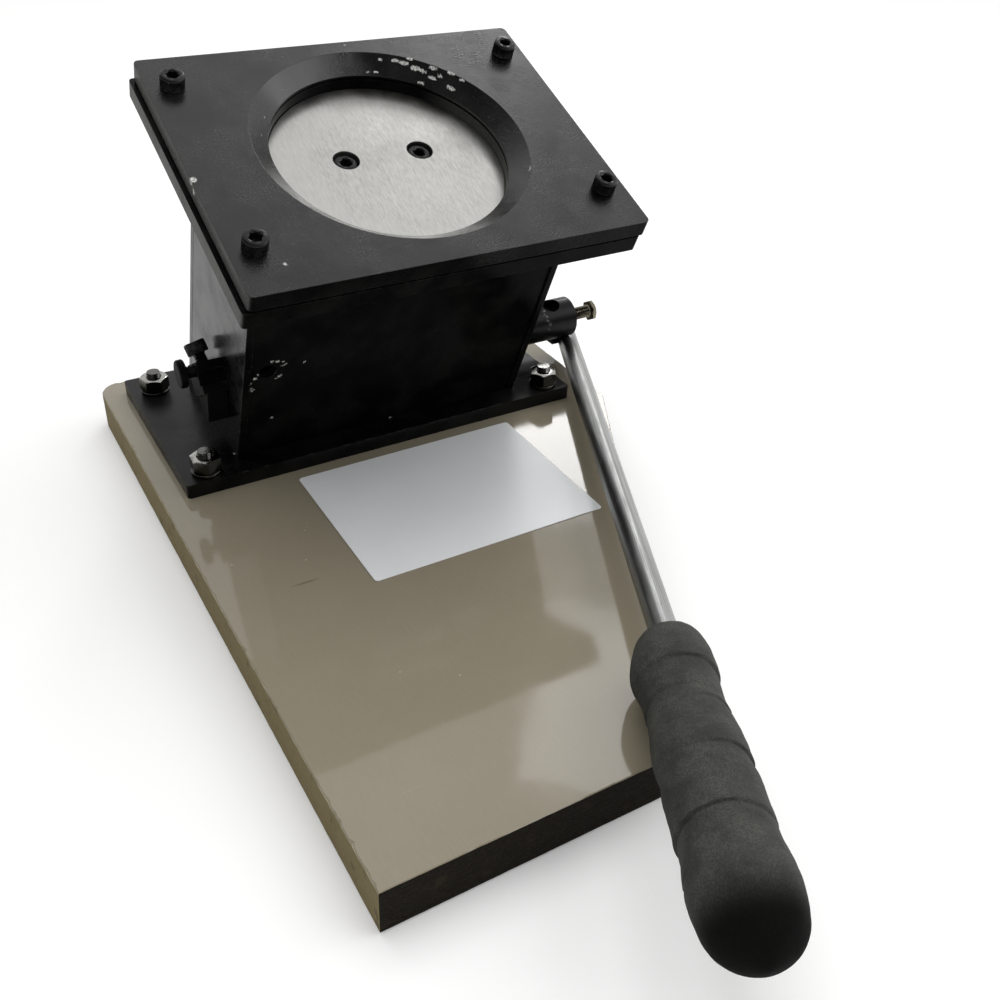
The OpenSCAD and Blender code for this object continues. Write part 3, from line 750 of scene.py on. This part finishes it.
HEX_SEGMENTS = 72
HEX_RISE = math.tan(math.radians(30))
HEX_FACE = 0.475
NUT_AF, NUT_H, NUT_BORE = 10.8, 5.8, 2.95
NUT_FACE = NUT_AF * HEX_FACE
NUT_MOUTH_R, NUT_MOUTH = NUT_BORE + 0.4, 0.5
NUT_HOLE = [(NUT_MOUTH_R, NUT_H), (NUT_BORE, NUT_H - NUT_MOUTH), (NUT_BORE, NUT_MOUTH),
            (NUT_MOUTH_R, 0)]


def hex_nut(shape, matrix):
    """A hexagon nut, chamfered at both ends, from z = 0 upwards."""
    n = HEX_SEGMENTS
    outside = [circle(NUT_FACE, 0, n), hexagon(NUT_AF, 0, n, NUT_FACE, HEX_RISE),
               hexagon(NUT_AF, NUT_H, n, NUT_FACE, -HEX_RISE), circle(NUT_FACE, NUT_H, n)]
    shape.stack(matrix, outside + lathe(NUT_HOLE, n), loop=True)


BOLT_R, BOLT_PITCH, BOLT_GROOVE = 3.0, 1.0, 0.5
BOLT_TIP, BOLT_TIP_H = 0.7, 0.01
BOLT_COLLAR, BOLT_COLLAR_IN, BOLT_RUNOUT = 0.3, 0.1, 0.3
BOLT_DISH_IN, BOLT_DISH, BOLT_DISH_TIP = 1.0, 0.15, 0.2


def hex_bolt(shape, matrix, flats, head, plain, length):
    """A hexagon bolt: the head stands from z = 0 upwards, the shank runs down."""
    n = HEX_SEGMENTS
    face = flats * HEX_FACE
    collar = face - BOLT_COLLAR_IN
    taper = circle(BOLT_R - BOLT_TIP, -length - BOLT_TIP_H, n)
    shank = threaded(BOLT_R, BOLT_GROOVE, BOLT_PITCH, -length, -plain, n)
    neck = [(BOLT_R, -plain + BOLT_RUNOUT), (BOLT_R, 0), (collar, 0), (collar, BOLT_COLLAR)]
    sides = [hexagon(flats, BOLT_COLLAR, n), hexagon(flats, head, n, face, -HEX_RISE)]
    top = [(face, head), (face - BOLT_DISH_IN, head - BOLT_DISH)]
    shape.stack(matrix, [taper] + shank + lathe(neck, n) + sides + lathe(top, n),
                (0, 0, -length), (0, 0, head - BOLT_DISH_TIP))


# Board with a chipped laminate skin

BOARD_LEFT, BOARD_RIGHT, BOARD_FRONT, BOARD_BACK = -97.6, 103.5, -188.3, 112.0
BOARD_NOSE_X, BOARD_SLANT_Y = 3.0, 0
BOARD_CORNER, BOARD_CORNER_STEPS = 9.0, 12
BOARD_PACE = 1.6
BOARD_SHARP = 12
RECESS_R, RECESS_H, RECESS_SIDES = 8.0, 6.0, 40
NICK_RATE, NICK_SEED, NICK_FINE, NICK_LEAST = 0.3, 3.0, 3.1, 0.12
NICK_FRONT, FRONT_LOOK = 0.3, 0.7
WAVE_RATE, WAVE_DEEP = 0.5, 0.06
TOP_MARK, CORE_MARK = 0, 1

# Height, inset, and depth and sag of the nicks at each level of the rim
BOARD_LEVELS = [
    (0, 0.7, 0, 0), (0.6, 0, 0, 0), (6, 0.02, 0, 0), (12, 0.02, 0, 0), (BOARD_T - 2.4, 0, 0, 0),
    (BOARD_T - 1.0, 0.02, 0.25, 0), (BOARD_T - 0.92, 0.06, 0.3, 0),
    (BOARD_T - 0.22, 0.06, 0.9, 0.12), (BOARD_T, 0.35, 1.5, 0)]


def board_rim():
    """Points around the board and the inward direction at each of them."""
    outline = [Vector((BOARD_LEFT, BOARD_FRONT)), Vector((BOARD_NOSE_X, BOARD_FRONT)),
               Vector((BOARD_RIGHT, BOARD_SLANT_Y)), Vector((BOARD_RIGHT, BOARD_BACK))]
    for k in range(BOARD_CORNER_STEPS + 1):
        angle = SQUARE + SQUARE * k / BOARD_CORNER_STEPS
        outline.append(Vector((BOARD_LEFT + BOARD_CORNER + BOARD_CORNER * math.cos(angle),
                               BOARD_BACK - BOARD_CORNER + BOARD_CORNER * math.sin(angle))))
    points, inward = [], []
    for a, b in zip(outline, outline[1:] + outline[:1]):
        run = b - a
        pieces = max(1, round(run.length / BOARD_PACE))
        normal = Vector((-run.y, run.x)).normalized()
        for k in range(pieces):
            points.append(a + run * k / pieces)
            inward.append(normal)
    inward = [(inward[i] + inward[i - 1]).normalized() for i in range(len(points))]
    return points, inward


def board():
    points, inward = board_rim()

    def ring(z, inset, bite, sag):
        made = []
        for p, n in zip(points, inward):
            spot = Vector((p.x * NICK_RATE, p.y * NICK_RATE, NICK_SEED))
            rough = noise.noise(spot) + 0.5 * noise.noise(spot * NICK_FINE)
            nick = max(0.0, rough - NICK_LEAST)
            wave = WAVE_DEEP * noise.noise(Vector((p.x * WAVE_RATE, p.y * WAVE_RATE, z)))
            deep = inset + bite * nick * (NICK_FRONT if n.y > FRONT_LOOK else 1.0) + wave
            made.append((p.x + n.x * deep, p.y + n.y * deep, z - sag * nick))
        return made

    shape = Shape()
    made = [shape.add(LEVEL, ring(*level)) for level in BOARD_LEVELS]
    for lower, upper in zip(made, made[1:]):
        shape.skin(lower, upper, TOP_MARK if upper is made[-1] else CORE_MARK)
    shape.face(made[-1], TOP_MARK)
    for bolt in BOLTS:
        rim = shape.add(LEVEL, circle(RECESS_R, 0, RECESS_SIDES, bolt))
        floor = shape.add(LEVEL, circle(RECESS_R, RECESS_H, RECESS_SIDES, bolt))
        shape.skin(rim, floor, CORE_MARK)
        shape.face(floor, CORE_MARK)
    made_piece = shape.piece("board", "frame", "laminate_board", [LAMINATE, CORE],
                             ["base_board"], BOARD_SHARP)
    close_underside(made_piece.data)


def close_underside(mesh):
    """Fills the open underside around the bolt recesses."""
    made = bmesh.new()
    made.from_mesh(mesh)
    open_edges = [e for e in made.edges if e.is_boundary]
    filled = bmesh.ops.triangle_fill(made, use_beauty=True, use_dissolve=False, edges=open_edges)
    for part in filled["geom"]:
        if isinstance(part, bmesh.types.BMFace):
            part.material_index = CORE_MARK
    bmesh.ops.recalc_face_normals(made, faces=made.faces)
    made.to_mesh(mesh)
    made.free()


# Foam grip with overlapping wraps

# Distance along the rod and radius
GRIP_PROFILE = [
    (221.5, 8.6), (222.6, 9.8), (224.5, 10.9), (227, 11.7), (230, 12.5), (233, 13.0),
    (236.5, 13.25), (240, 13.0), (244, 12.3), (248, 12.0), (253, 11.8), (257, 12.1),
    (261, 12.6), (265, 13.0), (270, 13.4), (274, 13.2), (277.5, 13.0), (281, 13.5),
    (285, 13.6), (290, 13.5), (295, 13.6), (299, 13.35), (302, 13.4), (306, 13.9),
    (310, 14.25), (314, 14.4), (317, 14.15), (320, 13.7), (323, 12.9), (326, 11.5),
    (328.5, 9.4), (330.5, 6.6), (332, 3.6), (332.7, 1.6)]
# Distance along the rod, height and phase of each wrap's edge
GRIP_SEAMS = [(240.5, 0.5, 0.3), (252.0, 0.5, 1.9), (257.5, 0.4, 4.0), (274.5, 0.6, 0.9),
              (296.5, 0.65, 2.6), (307.0, 0.2, 5.1)]
# Radius and distance from the grip's start, from inside the mouth to its rim
GRIP_MOUTH = [(ROD_R + 0.03, 3), (ROD_R + 0.03, 0.6), (ROD_R + 0.5, -0.1), (8.4, -0.2)]
GRIP_TIP = 0.35
GRIP_SIDE = Vector((-1.27, 0.6, 0.0))
GRIP_SIDE_RUN, GRIP_END_RUN = 14, 8
GRIP_SIDES, GRIP_PACE, GRIP_SHARP = 88, 0.42, 60
LUMP_AROUND, LUMP_ALONG, LUMP_FINE = 1.6, 0.09, 3.3
LUMP_DEEP, LUMP_FINE_DEEP = 0.32, 0.12
WOBBLE, WOBBLE_FINE = 0.8, 0.35
LIP_RISE, LIP_BEFORE, LIP_AFTER = 0.6, 2.6, 1.5
NO_RUN = 1e-6


def smooth_between(table, s):
    """Catmull-Rom through a table of position and value."""
    k = 0
    while k < len(table) - 2 and table[k + 1][0] < s:
        k += 1
    before, here = table[max(k - 1, 0)], table[k]
    there, after = table[k + 1], table[min(k + 2, len(table) - 1)]
    span = there[0] - here[0]
    t = (s - here[0]) / span
    m0 = (there[1] - before[1]) / max(there[0] - before[0], NO_RUN) * span
    m1 = (after[1] - here[1]) / max(after[0] - here[0], NO_RUN) * span
    return ((2 * t ** 3 - 3 * t ** 2 + 1) * here[1] + (t ** 3 - 2 * t ** 2 + t) * m0
            + (3 * t ** 2 - 2 * t ** 3) * there[1] + (t ** 3 - t ** 2) * m1)


def wraps(angle, s):
    """Each wrap swells before its edge and falls to the next one after it."""
    lip = 0.0
    for seam, tall, phase in GRIP_SEAMS:
        wobble = WOBBLE * math.sin(angle + phase) + WOBBLE_FINE * math.sin(3 * angle + 2 * phase)
        t = s - seam - wobble
        fade = 0.55 + 0.45 * math.sin(angle + phase * 2)
        if t < 0:
            lip += tall * LIP_RISE * fade * math.exp(-(t / LIP_BEFORE) ** 2)
        else:
            lip -= tall * fade * math.exp(-(t / LIP_AFTER) ** 2)
    return lip


def grip():
    start, end = GRIP_PROFILE[0][0], GRIP_PROFILE[-1][0]
    steps = round((end - start) / GRIP_PACE)
    lean = ROD.to_3x3().inverted() @ GRIP_SIDE * MM
    rings = [circle(radius, start + far, GRIP_SIDES) for radius, far in GRIP_MOUTH]
    for k in range(steps + 1):
        s = start + (end - start) * k / steps
        base = smooth_between(GRIP_PROFILE, s)
        off = lean * min(1.0, max(0.0, (s - start) / GRIP_SIDE_RUN))
        fade_end = min(1.0, (end - s) / GRIP_END_RUN)
        ring = []
        for i in range(GRIP_SIDES):
            angle = 2 * math.pi * i / GRIP_SIDES
            spot = Vector((math.cos(angle) * LUMP_AROUND, math.sin(angle) * LUMP_AROUND,
                           s * LUMP_ALONG))
            lump = LUMP_DEEP * noise.noise(spot) + LUMP_FINE_DEEP * noise.noise(spot * LUMP_FINE)
            radius = base + (lump + wraps(angle, s)) * fade_end
            ring.append((off.x + radius * math.cos(angle), off.y + radius * math.sin(angle), s))
        rings.append(ring)
    shape = Shape()
    shape.stack(ROD, rings, high_tip=(lean.x, lean.y, end + GRIP_TIP))
    made = shape.piece("grip_foam", "lever_group", "foam", [FOAM], ["grip"], GRIP_SHARP)


LAMINATE, CORE, FOAM = laminate(), board_core(), foam()
board()
grip()


# Solids that keep their own shape get rounded edges and a finish

WELD_GAP = 2e-6
FLAT_ANGLE, EDGE_ANGLE = math.radians(0.4), math.radians(30)


def soften(name, material, width, segments=2):
    """Gives a solid its finish and rounds its edges to a width in millimetres."""
    thing = frame["nodes"][name]
    thing.data.materials.clear()
    thing.data.materials.append(material)
    weld = thing.modifiers.new("weld", "WELD")
    weld.merge_threshold = WELD_GAP
    flat = thing.modifiers.new("flat", "DECIMATE")
    flat.decimate_type = "DISSOLVE"
    flat.angle_limit = FLAT_ANGLE
    if width:
        bevel = thing.modifiers.new("bevel", "BEVEL")
        bevel.width = width * MM
        bevel.segments = segments
        bevel.limit_method = "ANGLE"
        bevel.angle_limit = EDGE_ANGLE
    even = thing.modifiers.new("even", "WEIGHTED_NORMAL")
    even.keep_sharp = False


# Chips in the enamel are spots of x, y, z and radius in the frame of their paint
CONE_R, CONE_LOW_R, CONE_DEEP = 50.3, 43.35, 5.4
FRONT_Y = -34
STROKE = (-1, 0, 1)
STROKE_TAPER = 0.2
DASH_STEP = 1.25


def on_cone(x, y, radius):
    """A chip on the die plate's lead-in cone, or on its top outside the cone."""
    out = min(math.hypot(x, y), CONE_R)
    return (x, y, -CONE_DEEP * (CONE_R - out) / (CONE_R - CONE_LOW_R), radius)


def dashes(chips):
    """Each chip on the cone as a short dash around the hole."""
    made = []
    for x, y, radius in chips:
        along = Vector((-y, x)).normalized() * radius * DASH_STEP
        made += [on_cone(x + k * along.x, y + k * along.y, radius * (1 - STROKE_TAPER * abs(k)))
                 for k in STROKE]
    return made


def scratch(x, z, run, rise, radius):
    """A ragged scratch on the front plate, centred at x and z."""
    return [(x + k * run, FRONT_Y, z + k * rise, radius * (1 - STROKE_TAPER * abs(k)))
            for k in STROKE]


DIE_SPOTS = [(-74.3, -6.5, -0.6, 1.5), (-75, -9.5, -2.5, 1.0), (-59.4, -49.3, 0, 0.7)] + dashes((
    (9.6, 43.4, 0.4), (12.6, 42.8, 0.5), (15.2, 45.9, 0.5), (20.6, 44.2, 0.7),
    (23.6, 42.4, 0.95), (27.3, 39.3, 1.0), (29.6, 37.4, 0.75), (33.3, 36.7, 0.8),
    (32, 33.9, 0.85), (27.8, 34.2, 0.65), (34.8, 33.1, 0.6), (26.1, 42.9, 0.6),
    (38.7, 32, 0.75), (41.4, 27.7, 0.6), (37.1, 27.4, 0.9), (-27, 37.3, 0.3),
    (-38.7, 23.9, 0.3), (-43.1, 14.9, 0.25), (43.6, -24.5, 0.45), (4, 54.6, 0.3)))
DIE_PATCHES = [(43, -48, 0, 20), (50, -25, 0, 14), (12, -57, 0, 14), (-50, -8, 0, 14)]
FRONT_SPOTS = (scratch(-51, -66.4, 2.2, -0.7, 0.75) + scratch(-48.2, -69, 0.9, 0.4, 0.6)
               + scratch(-59.4, -73.6, 1.5, 2.0, 0.8) + scratch(-50, -75.5, 1.0, 0.8, 0.65)
               + scratch(-60.8, -78.8, 0.9, -1.3, 0.75) + scratch(-62, -66.5, 0.6, 0.9, 0.6)
               + [(3.5, FRONT_Y, -121, 0.8), (-40, FRONT_Y, -70, 0.55),
                  (-51, FRONT_Y, -100, 0.6)])
WELD_SPOTS = [(91.8, -5.0, 7.8, 0.8), (91.2, -6.4, 6.7, 0.6), (92.4, -7.2, 5.9, 0.7),
              (92.2, -8.3, 4.2, 0.7), (93.2, -9.0, 2.3, 0.8), (92.6, -9.2, 0.4, 0.6)]
BASE_SPOTS = [(-64, 20, BASE_TOP, 0.9)]

DIE_PAINT = paint("paint_die", HEAD, shine=0.5, spots=DIE_SPOTS, wear=0.06, ragged=2.4,
                  skin=0.15, dusty=1.0, under=0.05, flank=True, coarse=0.8, patches=DIE_PATCHES)
BED_PAINT = paint("paint_bed", HEAD, shine=0.12, wear=0.06, flank=True)
HOUSE_PAINT = paint("paint_housing", HEAD, shine=0.1, spots=FRONT_SPOTS, ragged=3.6)
BASE_PAINT = paint("paint_base", LEVEL, shine=0.14, spots=BASE_SPOTS, gloss=0.28)
LEVER_PAINT = paint("paint_lever", ON_SHAFT, shine=0.15, spots=WELD_SPOTS, gloss=0.28,
                    wear=0.25, ragged=4.0, chip=CHIP_DULL)
ARM_PAINT = paint("paint_arm", ON_SHAFT, shine=0.03, gloss=0.5, wear=0.12, skin=0.05)
STEEL = plain_steel()
ZINC = zinc("zinc", side_shade=0.92)
# Painted shade: darker copies of the zinc for the washers and studs and for the warm hub bolt
ZINC_SHADED = zinc("zinc_shaded", tone=0.35)
ZINC_WARM_SHADED = zinc("zinc_warm_shaded", warm=1.0, tone=0.65)
OXIDE = black_oxide()

soften("foil_plate", foil(), width=0.12, segments=1)
soften("base_plate", BASE_PAINT, width=0.5)
for name in ("left_side_plate", "right_side_plate", "front_plate", "back_plate"):
    soften(name, HOUSE_PAINT, width=0.35)
soften("bed_plate", BED_PAINT, width=0.5)
soften("die_plate", DIE_PAINT, width=0.5)
soften("lever_hub", LEVER_PAINT, width=0.5)
soften("stop_arm", ARM_PAINT, width=0.5)
soften("punch", ground_steel(), width=0.25)
soften("lever_rod", chrome(), width=0.3)
soften("mount_washers", ZINC_SHADED, width=0.2)
soften("back_screws", ZINC, width=0.3)
for name in ("corner_lugs", "guide_bars", "guide_cheeks", "bearing_bosses", "ram"):
    soften(name, STEEL, width=0.4)
for name in ("crankshaft", "hub_pin"):
    soften(name, STEEL, width=0.3)
soften("gap_shims", STEEL, width=0)
soften("shaft_bushes", bronze(), width=0.3)


# Fasteners with heads, sockets and threads

PLATE_SCREW_LENGTH = 12.9
PLATE_SPIN_X, PLATE_SPIN_Y = 0.7, 0.35
screws = Shape()
for sx in SIDES:
    for sy in SIDES:
        spin = spun(PLATE_SPIN_X * sx + PLATE_SPIN_Y * sy, "Z")
        seat = HEAD @ shifted(sx * SCREW_X, sy * SCREW_Y, 0) @ spin
        cap_screw(screws, seat, PLATE_SCREW_LENGTH)
screws.piece("plate_cap_screws", "frame", "black_oxide", [OXIDE], ["plate_screws"])

PUNCH_SCREW_SEAT, PUNCH_SCREW_LENGTH = -PUNCH_REST - CAP_H - 1, 18
PUNCH_SPIN = 0.4
screws = Shape()
for sx in SIDES:
    seat = HEAD @ shifted(sx * PUNCH_SCREW_X, PUNCH_SCREW_Y, PUNCH_SCREW_SEAT)
    cap_screw(screws, seat @ spun(PUNCH_SPIN * sx, "Z"), PUNCH_SCREW_LENGTH)
screws.piece("punch_cap_screws", "ram_group", "black_oxide", [OXIDE], ["punch_screws"])

WASHER_T, BOLT_OVER, BOLT_SEAT, BOLT_HEAD, BOLT_AF = 1.6, 2.2, 6.0, 4.0, 10.0
BOLT_CUT = 8
NUT_SEAT = BASE_TOP + WASHER_T
NUT_SPIN, NUT_SPIN_STEP = 0.45, 0.31
BOLT_LENGTH = NUT_SEAT + NUT_H + BOLT_OVER - BOLT_SEAT
nuts, bolts = Shape(), Shape()
for number, (x, y) in enumerate(BOLTS):
    spin = spun(NUT_SPIN + NUT_SPIN_STEP * number, "Z")
    hex_nut(nuts, LEVEL @ shifted(x, y, NUT_SEAT) @ spin)
    upside_down = shifted(x, y, BOLT_SEAT) @ spun(math.pi, "X")
    hex_bolt(bolts, LEVEL @ upside_down, BOLT_AF, BOLT_HEAD, BOLT_LENGTH - BOLT_CUT, BOLT_LENGTH)
nuts.piece("hex_nuts", "frame", "zinc", [ZINC], ["mount_nuts"])
bolts.piece("hex_bolts", "frame", "zinc", [ZINC_SHADED], ["mount_bolts"])

HUB_BOLT_OUT, HUB_BOLT_IN, HUB_BOLT_PLAIN = 12.5, 6.4, 0.8
HUB_BOLT_HEAD, HUB_BOLT_AF = 2.2, 8.8
end_bolt = Shape()
seat = shifted(HUB_END + HUB_BOLT_OUT, 0, 0) @ spun(SQUARE, "Y")
hex_bolt(end_bolt, ON_SHAFT @ seat, HUB_BOLT_AF, HUB_BOLT_HEAD, HUB_BOLT_PLAIN,
         HUB_BOLT_OUT + HUB_BOLT_IN)
end_bolt.piece("hub_hex_bolt", "lever_group", "zinc", [ZINC_WARM_SHADED], ["hub_bolt"])

STOP_LEAN = math.radians(11)
STOP_X, STOP_Y, STOP_PIVOT_Z = -ARM_IN - 5.5, -16.4, 20.0
STOP_SEAT, STOP_LENGTH = 17.6, 10.0
stop = Shape()
leaning = shifted(STOP_X, STOP_Y, STOP_PIVOT_Z) @ spun(-STOP_LEAN, "Y")
cap_screw(stop, ARM @ leaning @ shifted(0, 0, STOP_SEAT - STOP_PIVOT_Z), STOP_LENGTH, cut=True)
stop.piece("stop_cap_screw", "lever_group", "black_oxide", [OXIDE], ["stop_screw"])

PIVOT_X, PIVOT_Y, PIVOT_Z = -ARM_IN - 16.3, -22.0, 11.1
PIVOT_R, PIVOT_T, PIVOT_END, PIVOT_SIDES = 5.6, 3.0, 11.2, 64
PIVOT_RUNOUT, PIVOT_DIMPLE = 0.3, 0.1
PIVOT_HEAD = [(1.6, 0), (PIVOT_R - 1.1, 0), (PIVOT_R - 0.35, 0.25), (PIVOT_R, 0.8),
              (PIVOT_R, PIVOT_T - 0.4), (PIVOT_R - 0.35, PIVOT_T), (CAP_SHANK, PIVOT_T)]
pivot = Shape()
seat = shifted(PIVOT_X, PIVOT_Y, PIVOT_Z) @ spun(SQUARE, "Y")
shank = threaded(CAP_SHANK, CAP_GROOVE, CAP_PITCH, PIVOT_T + PIVOT_RUNOUT, PIVOT_END, PIVOT_SIDES)
pivot.stack(ARM @ seat, lathe(PIVOT_HEAD, PIVOT_SIDES) + shank, (0, 0, PIVOT_DIMPLE),
            (0, 0, PIVOT_END))
pivot.piece("arm_side_bolt", "lever_group", "black_oxide", [ARM_PAINT], ["arm_bolt"])


# Studio, in metres

WHITE = (1, 1, 1, 1)
NOTHING = (0, 0, 0, 1)
BRIGHT_SIDE, BRIGHT_FROM = (0.75, 0.55, 0.35), (0.0, 0.55)
ROOM_MIRRORED = (0.12, 1.0)
ROOM_LIGHT = (0.42, 0.9)
LAMPS_AIM = Vector((0.0, -0.05, 0.08))
# Name, place, size, power and whether surfaces mirror the lamp
LAMPS = (("overhead", (0.15, 0.3, 1.4), (1.3, 1.3), 6.2, False),
         ("window", (0.724, 0.916, 0.726), (0.2, 0.2), 1.1, True),
         ("pane", (1.0, 1.0, 1.55), (0.4, 0.4), 1.3, True),
         ("right", (1.05, -0.62, 1.0), (1.6, 0.7), 6.0, True),
         ("fill", (-0.9, -0.2, 1.1), (1.0, 1.0), 1.6, False))
FLOOR_REACH, FLOOR_Z = 6.0, -0.0003
FLOOR_CORNERS = ((-1, -1), (1, -1), (1, 1), (-1, 1))
FLOOR_DARK = (0.86, 0.86, 0.855, 1)
FLOOR_PALE = (0.88, 0.88, 0.875, 1)
FLOOR_NEAR_MM, FLOOR_FAR_MM = 600, 1600
FLOOR_GLOW, FLOOR_FAR_GLOW = 0.17, 1.0


def room():
    """A white room, dark behind the camera and bright at the back, like a window side."""
    world = bpy.data.worlds.new("studio")
    bpy.context.scene.world = world
    tree = Tree(world)
    out = tree.node("ShaderNodeOutputWorld")
    rays = tree.node("ShaderNodeLightPath").outputs
    way = tree.node("ShaderNodeTexCoord").outputs["Generated"]
    toward = tree.vector("DOT_PRODUCT", way, BRIGHT_SIDE)

    def background(strength):
        made = tree.node("ShaderNodeBackground")
        made.inputs["Color"].default_value = WHITE
        tree.join(strength, made.inputs["Strength"])
        return made.outputs[0]

    # The camera itself sees plain white, and mirrors see more contrast than the light has
    mirrored = tree.math("MAXIMUM", tree.span(toward, BRIGHT_FROM, ROOM_MIRRORED),
                         rays["Is Camera Ray"])
    choose = tree.node("ShaderNodeMixShader")
    tree.join(tree.seen(rays), choose.inputs["Fac"])
    tree.join(background(tree.span(toward, BRIGHT_FROM, ROOM_LIGHT)), choose.inputs[1])
    tree.join(background(mirrored), choose.inputs[2])
    tree.join(choose.outputs[0], out.inputs["Surface"])


def lamps():
    for name, spot, size, power, glossy in LAMPS:
        data = bpy.data.lights.new(name, "AREA")
        data.shape = "RECTANGLE"
        data.size, data.size_y = size
        data.energy = power
        lamp = bpy.data.objects.new(name, data)
        bpy.context.scene.collection.objects.link(lamp)
        lamp.location = spot
        lamp.rotation_euler = (LAMPS_AIM - Vector(spot)).to_track_quat("-Z", "Y").to_euler()
        lamp.visible_glossy = glossy


def ground():
    """A pale floor that turns into the white background far from the object."""
    mesh = bpy.data.meshes.new("floor")
    mesh.from_pydata([(x * FLOOR_REACH, y * FLOOR_REACH, FLOOR_Z) for x, y in FLOOR_CORNERS],
                     [], [(0, 1, 2, 3)])
    floor = bpy.data.objects.new("floor", mesh)
    bpy.context.scene.collection.objects.link(floor)
    sh = Shader("floor", Roughness=0.9, Specular_IOR_Level=0.0, Emission_Color=WHITE)
    at = sh.place()
    tone = sh.grain(at, size=90, detail=2)
    far = sh.span(sh.vector("DISTANCE", at, (0, 0, 0)), (FLOOR_NEAR_MM, FLOOR_FAR_MM))
    sh.set("Base Color", sh.mix(far, sh.mix(tone, FLOOR_DARK, FLOOR_PALE), NOTHING))
    seen = sh.seen(sh.node("ShaderNodeLightPath").outputs)
    sh.set("Emission Strength", sh.times(seen, sh.blend(far, FLOOR_GLOW, FLOOR_FAR_GLOW)))
    mesh.materials.append(sh.material)


# The camera, solved from the photo's straight edges
EYE_MM, EYE_TURN = Vector((-165.424, -350.408, 261.820)), (57.3428, -1.6792, -30.0921)
SENSOR, LENS = 36.0, 39.2106
LENS_SHIFT = (0.00517, -0.04207)
CLIP = (0.01, 50.0)


def camera():
    data = bpy.data.cameras.new("camera")
    eye = bpy.data.objects.new("camera", data)
    bpy.context.scene.collection.objects.link(eye)
    data.sensor_width = SENSOR
    data.lens = LENS
    data.shift_x, data.shift_y = LENS_SHIFT
    data.clip_start, data.clip_end = CLIP
    eye.location = EYE_MM * MM
    eye.rotation_euler = [math.radians(v) for v in EYE_TURN]
    bpy.context.scene.camera = eye


bpy.context.scene.view_settings.view_transform = "Standard"
room()
lamps()
ground()
camera()
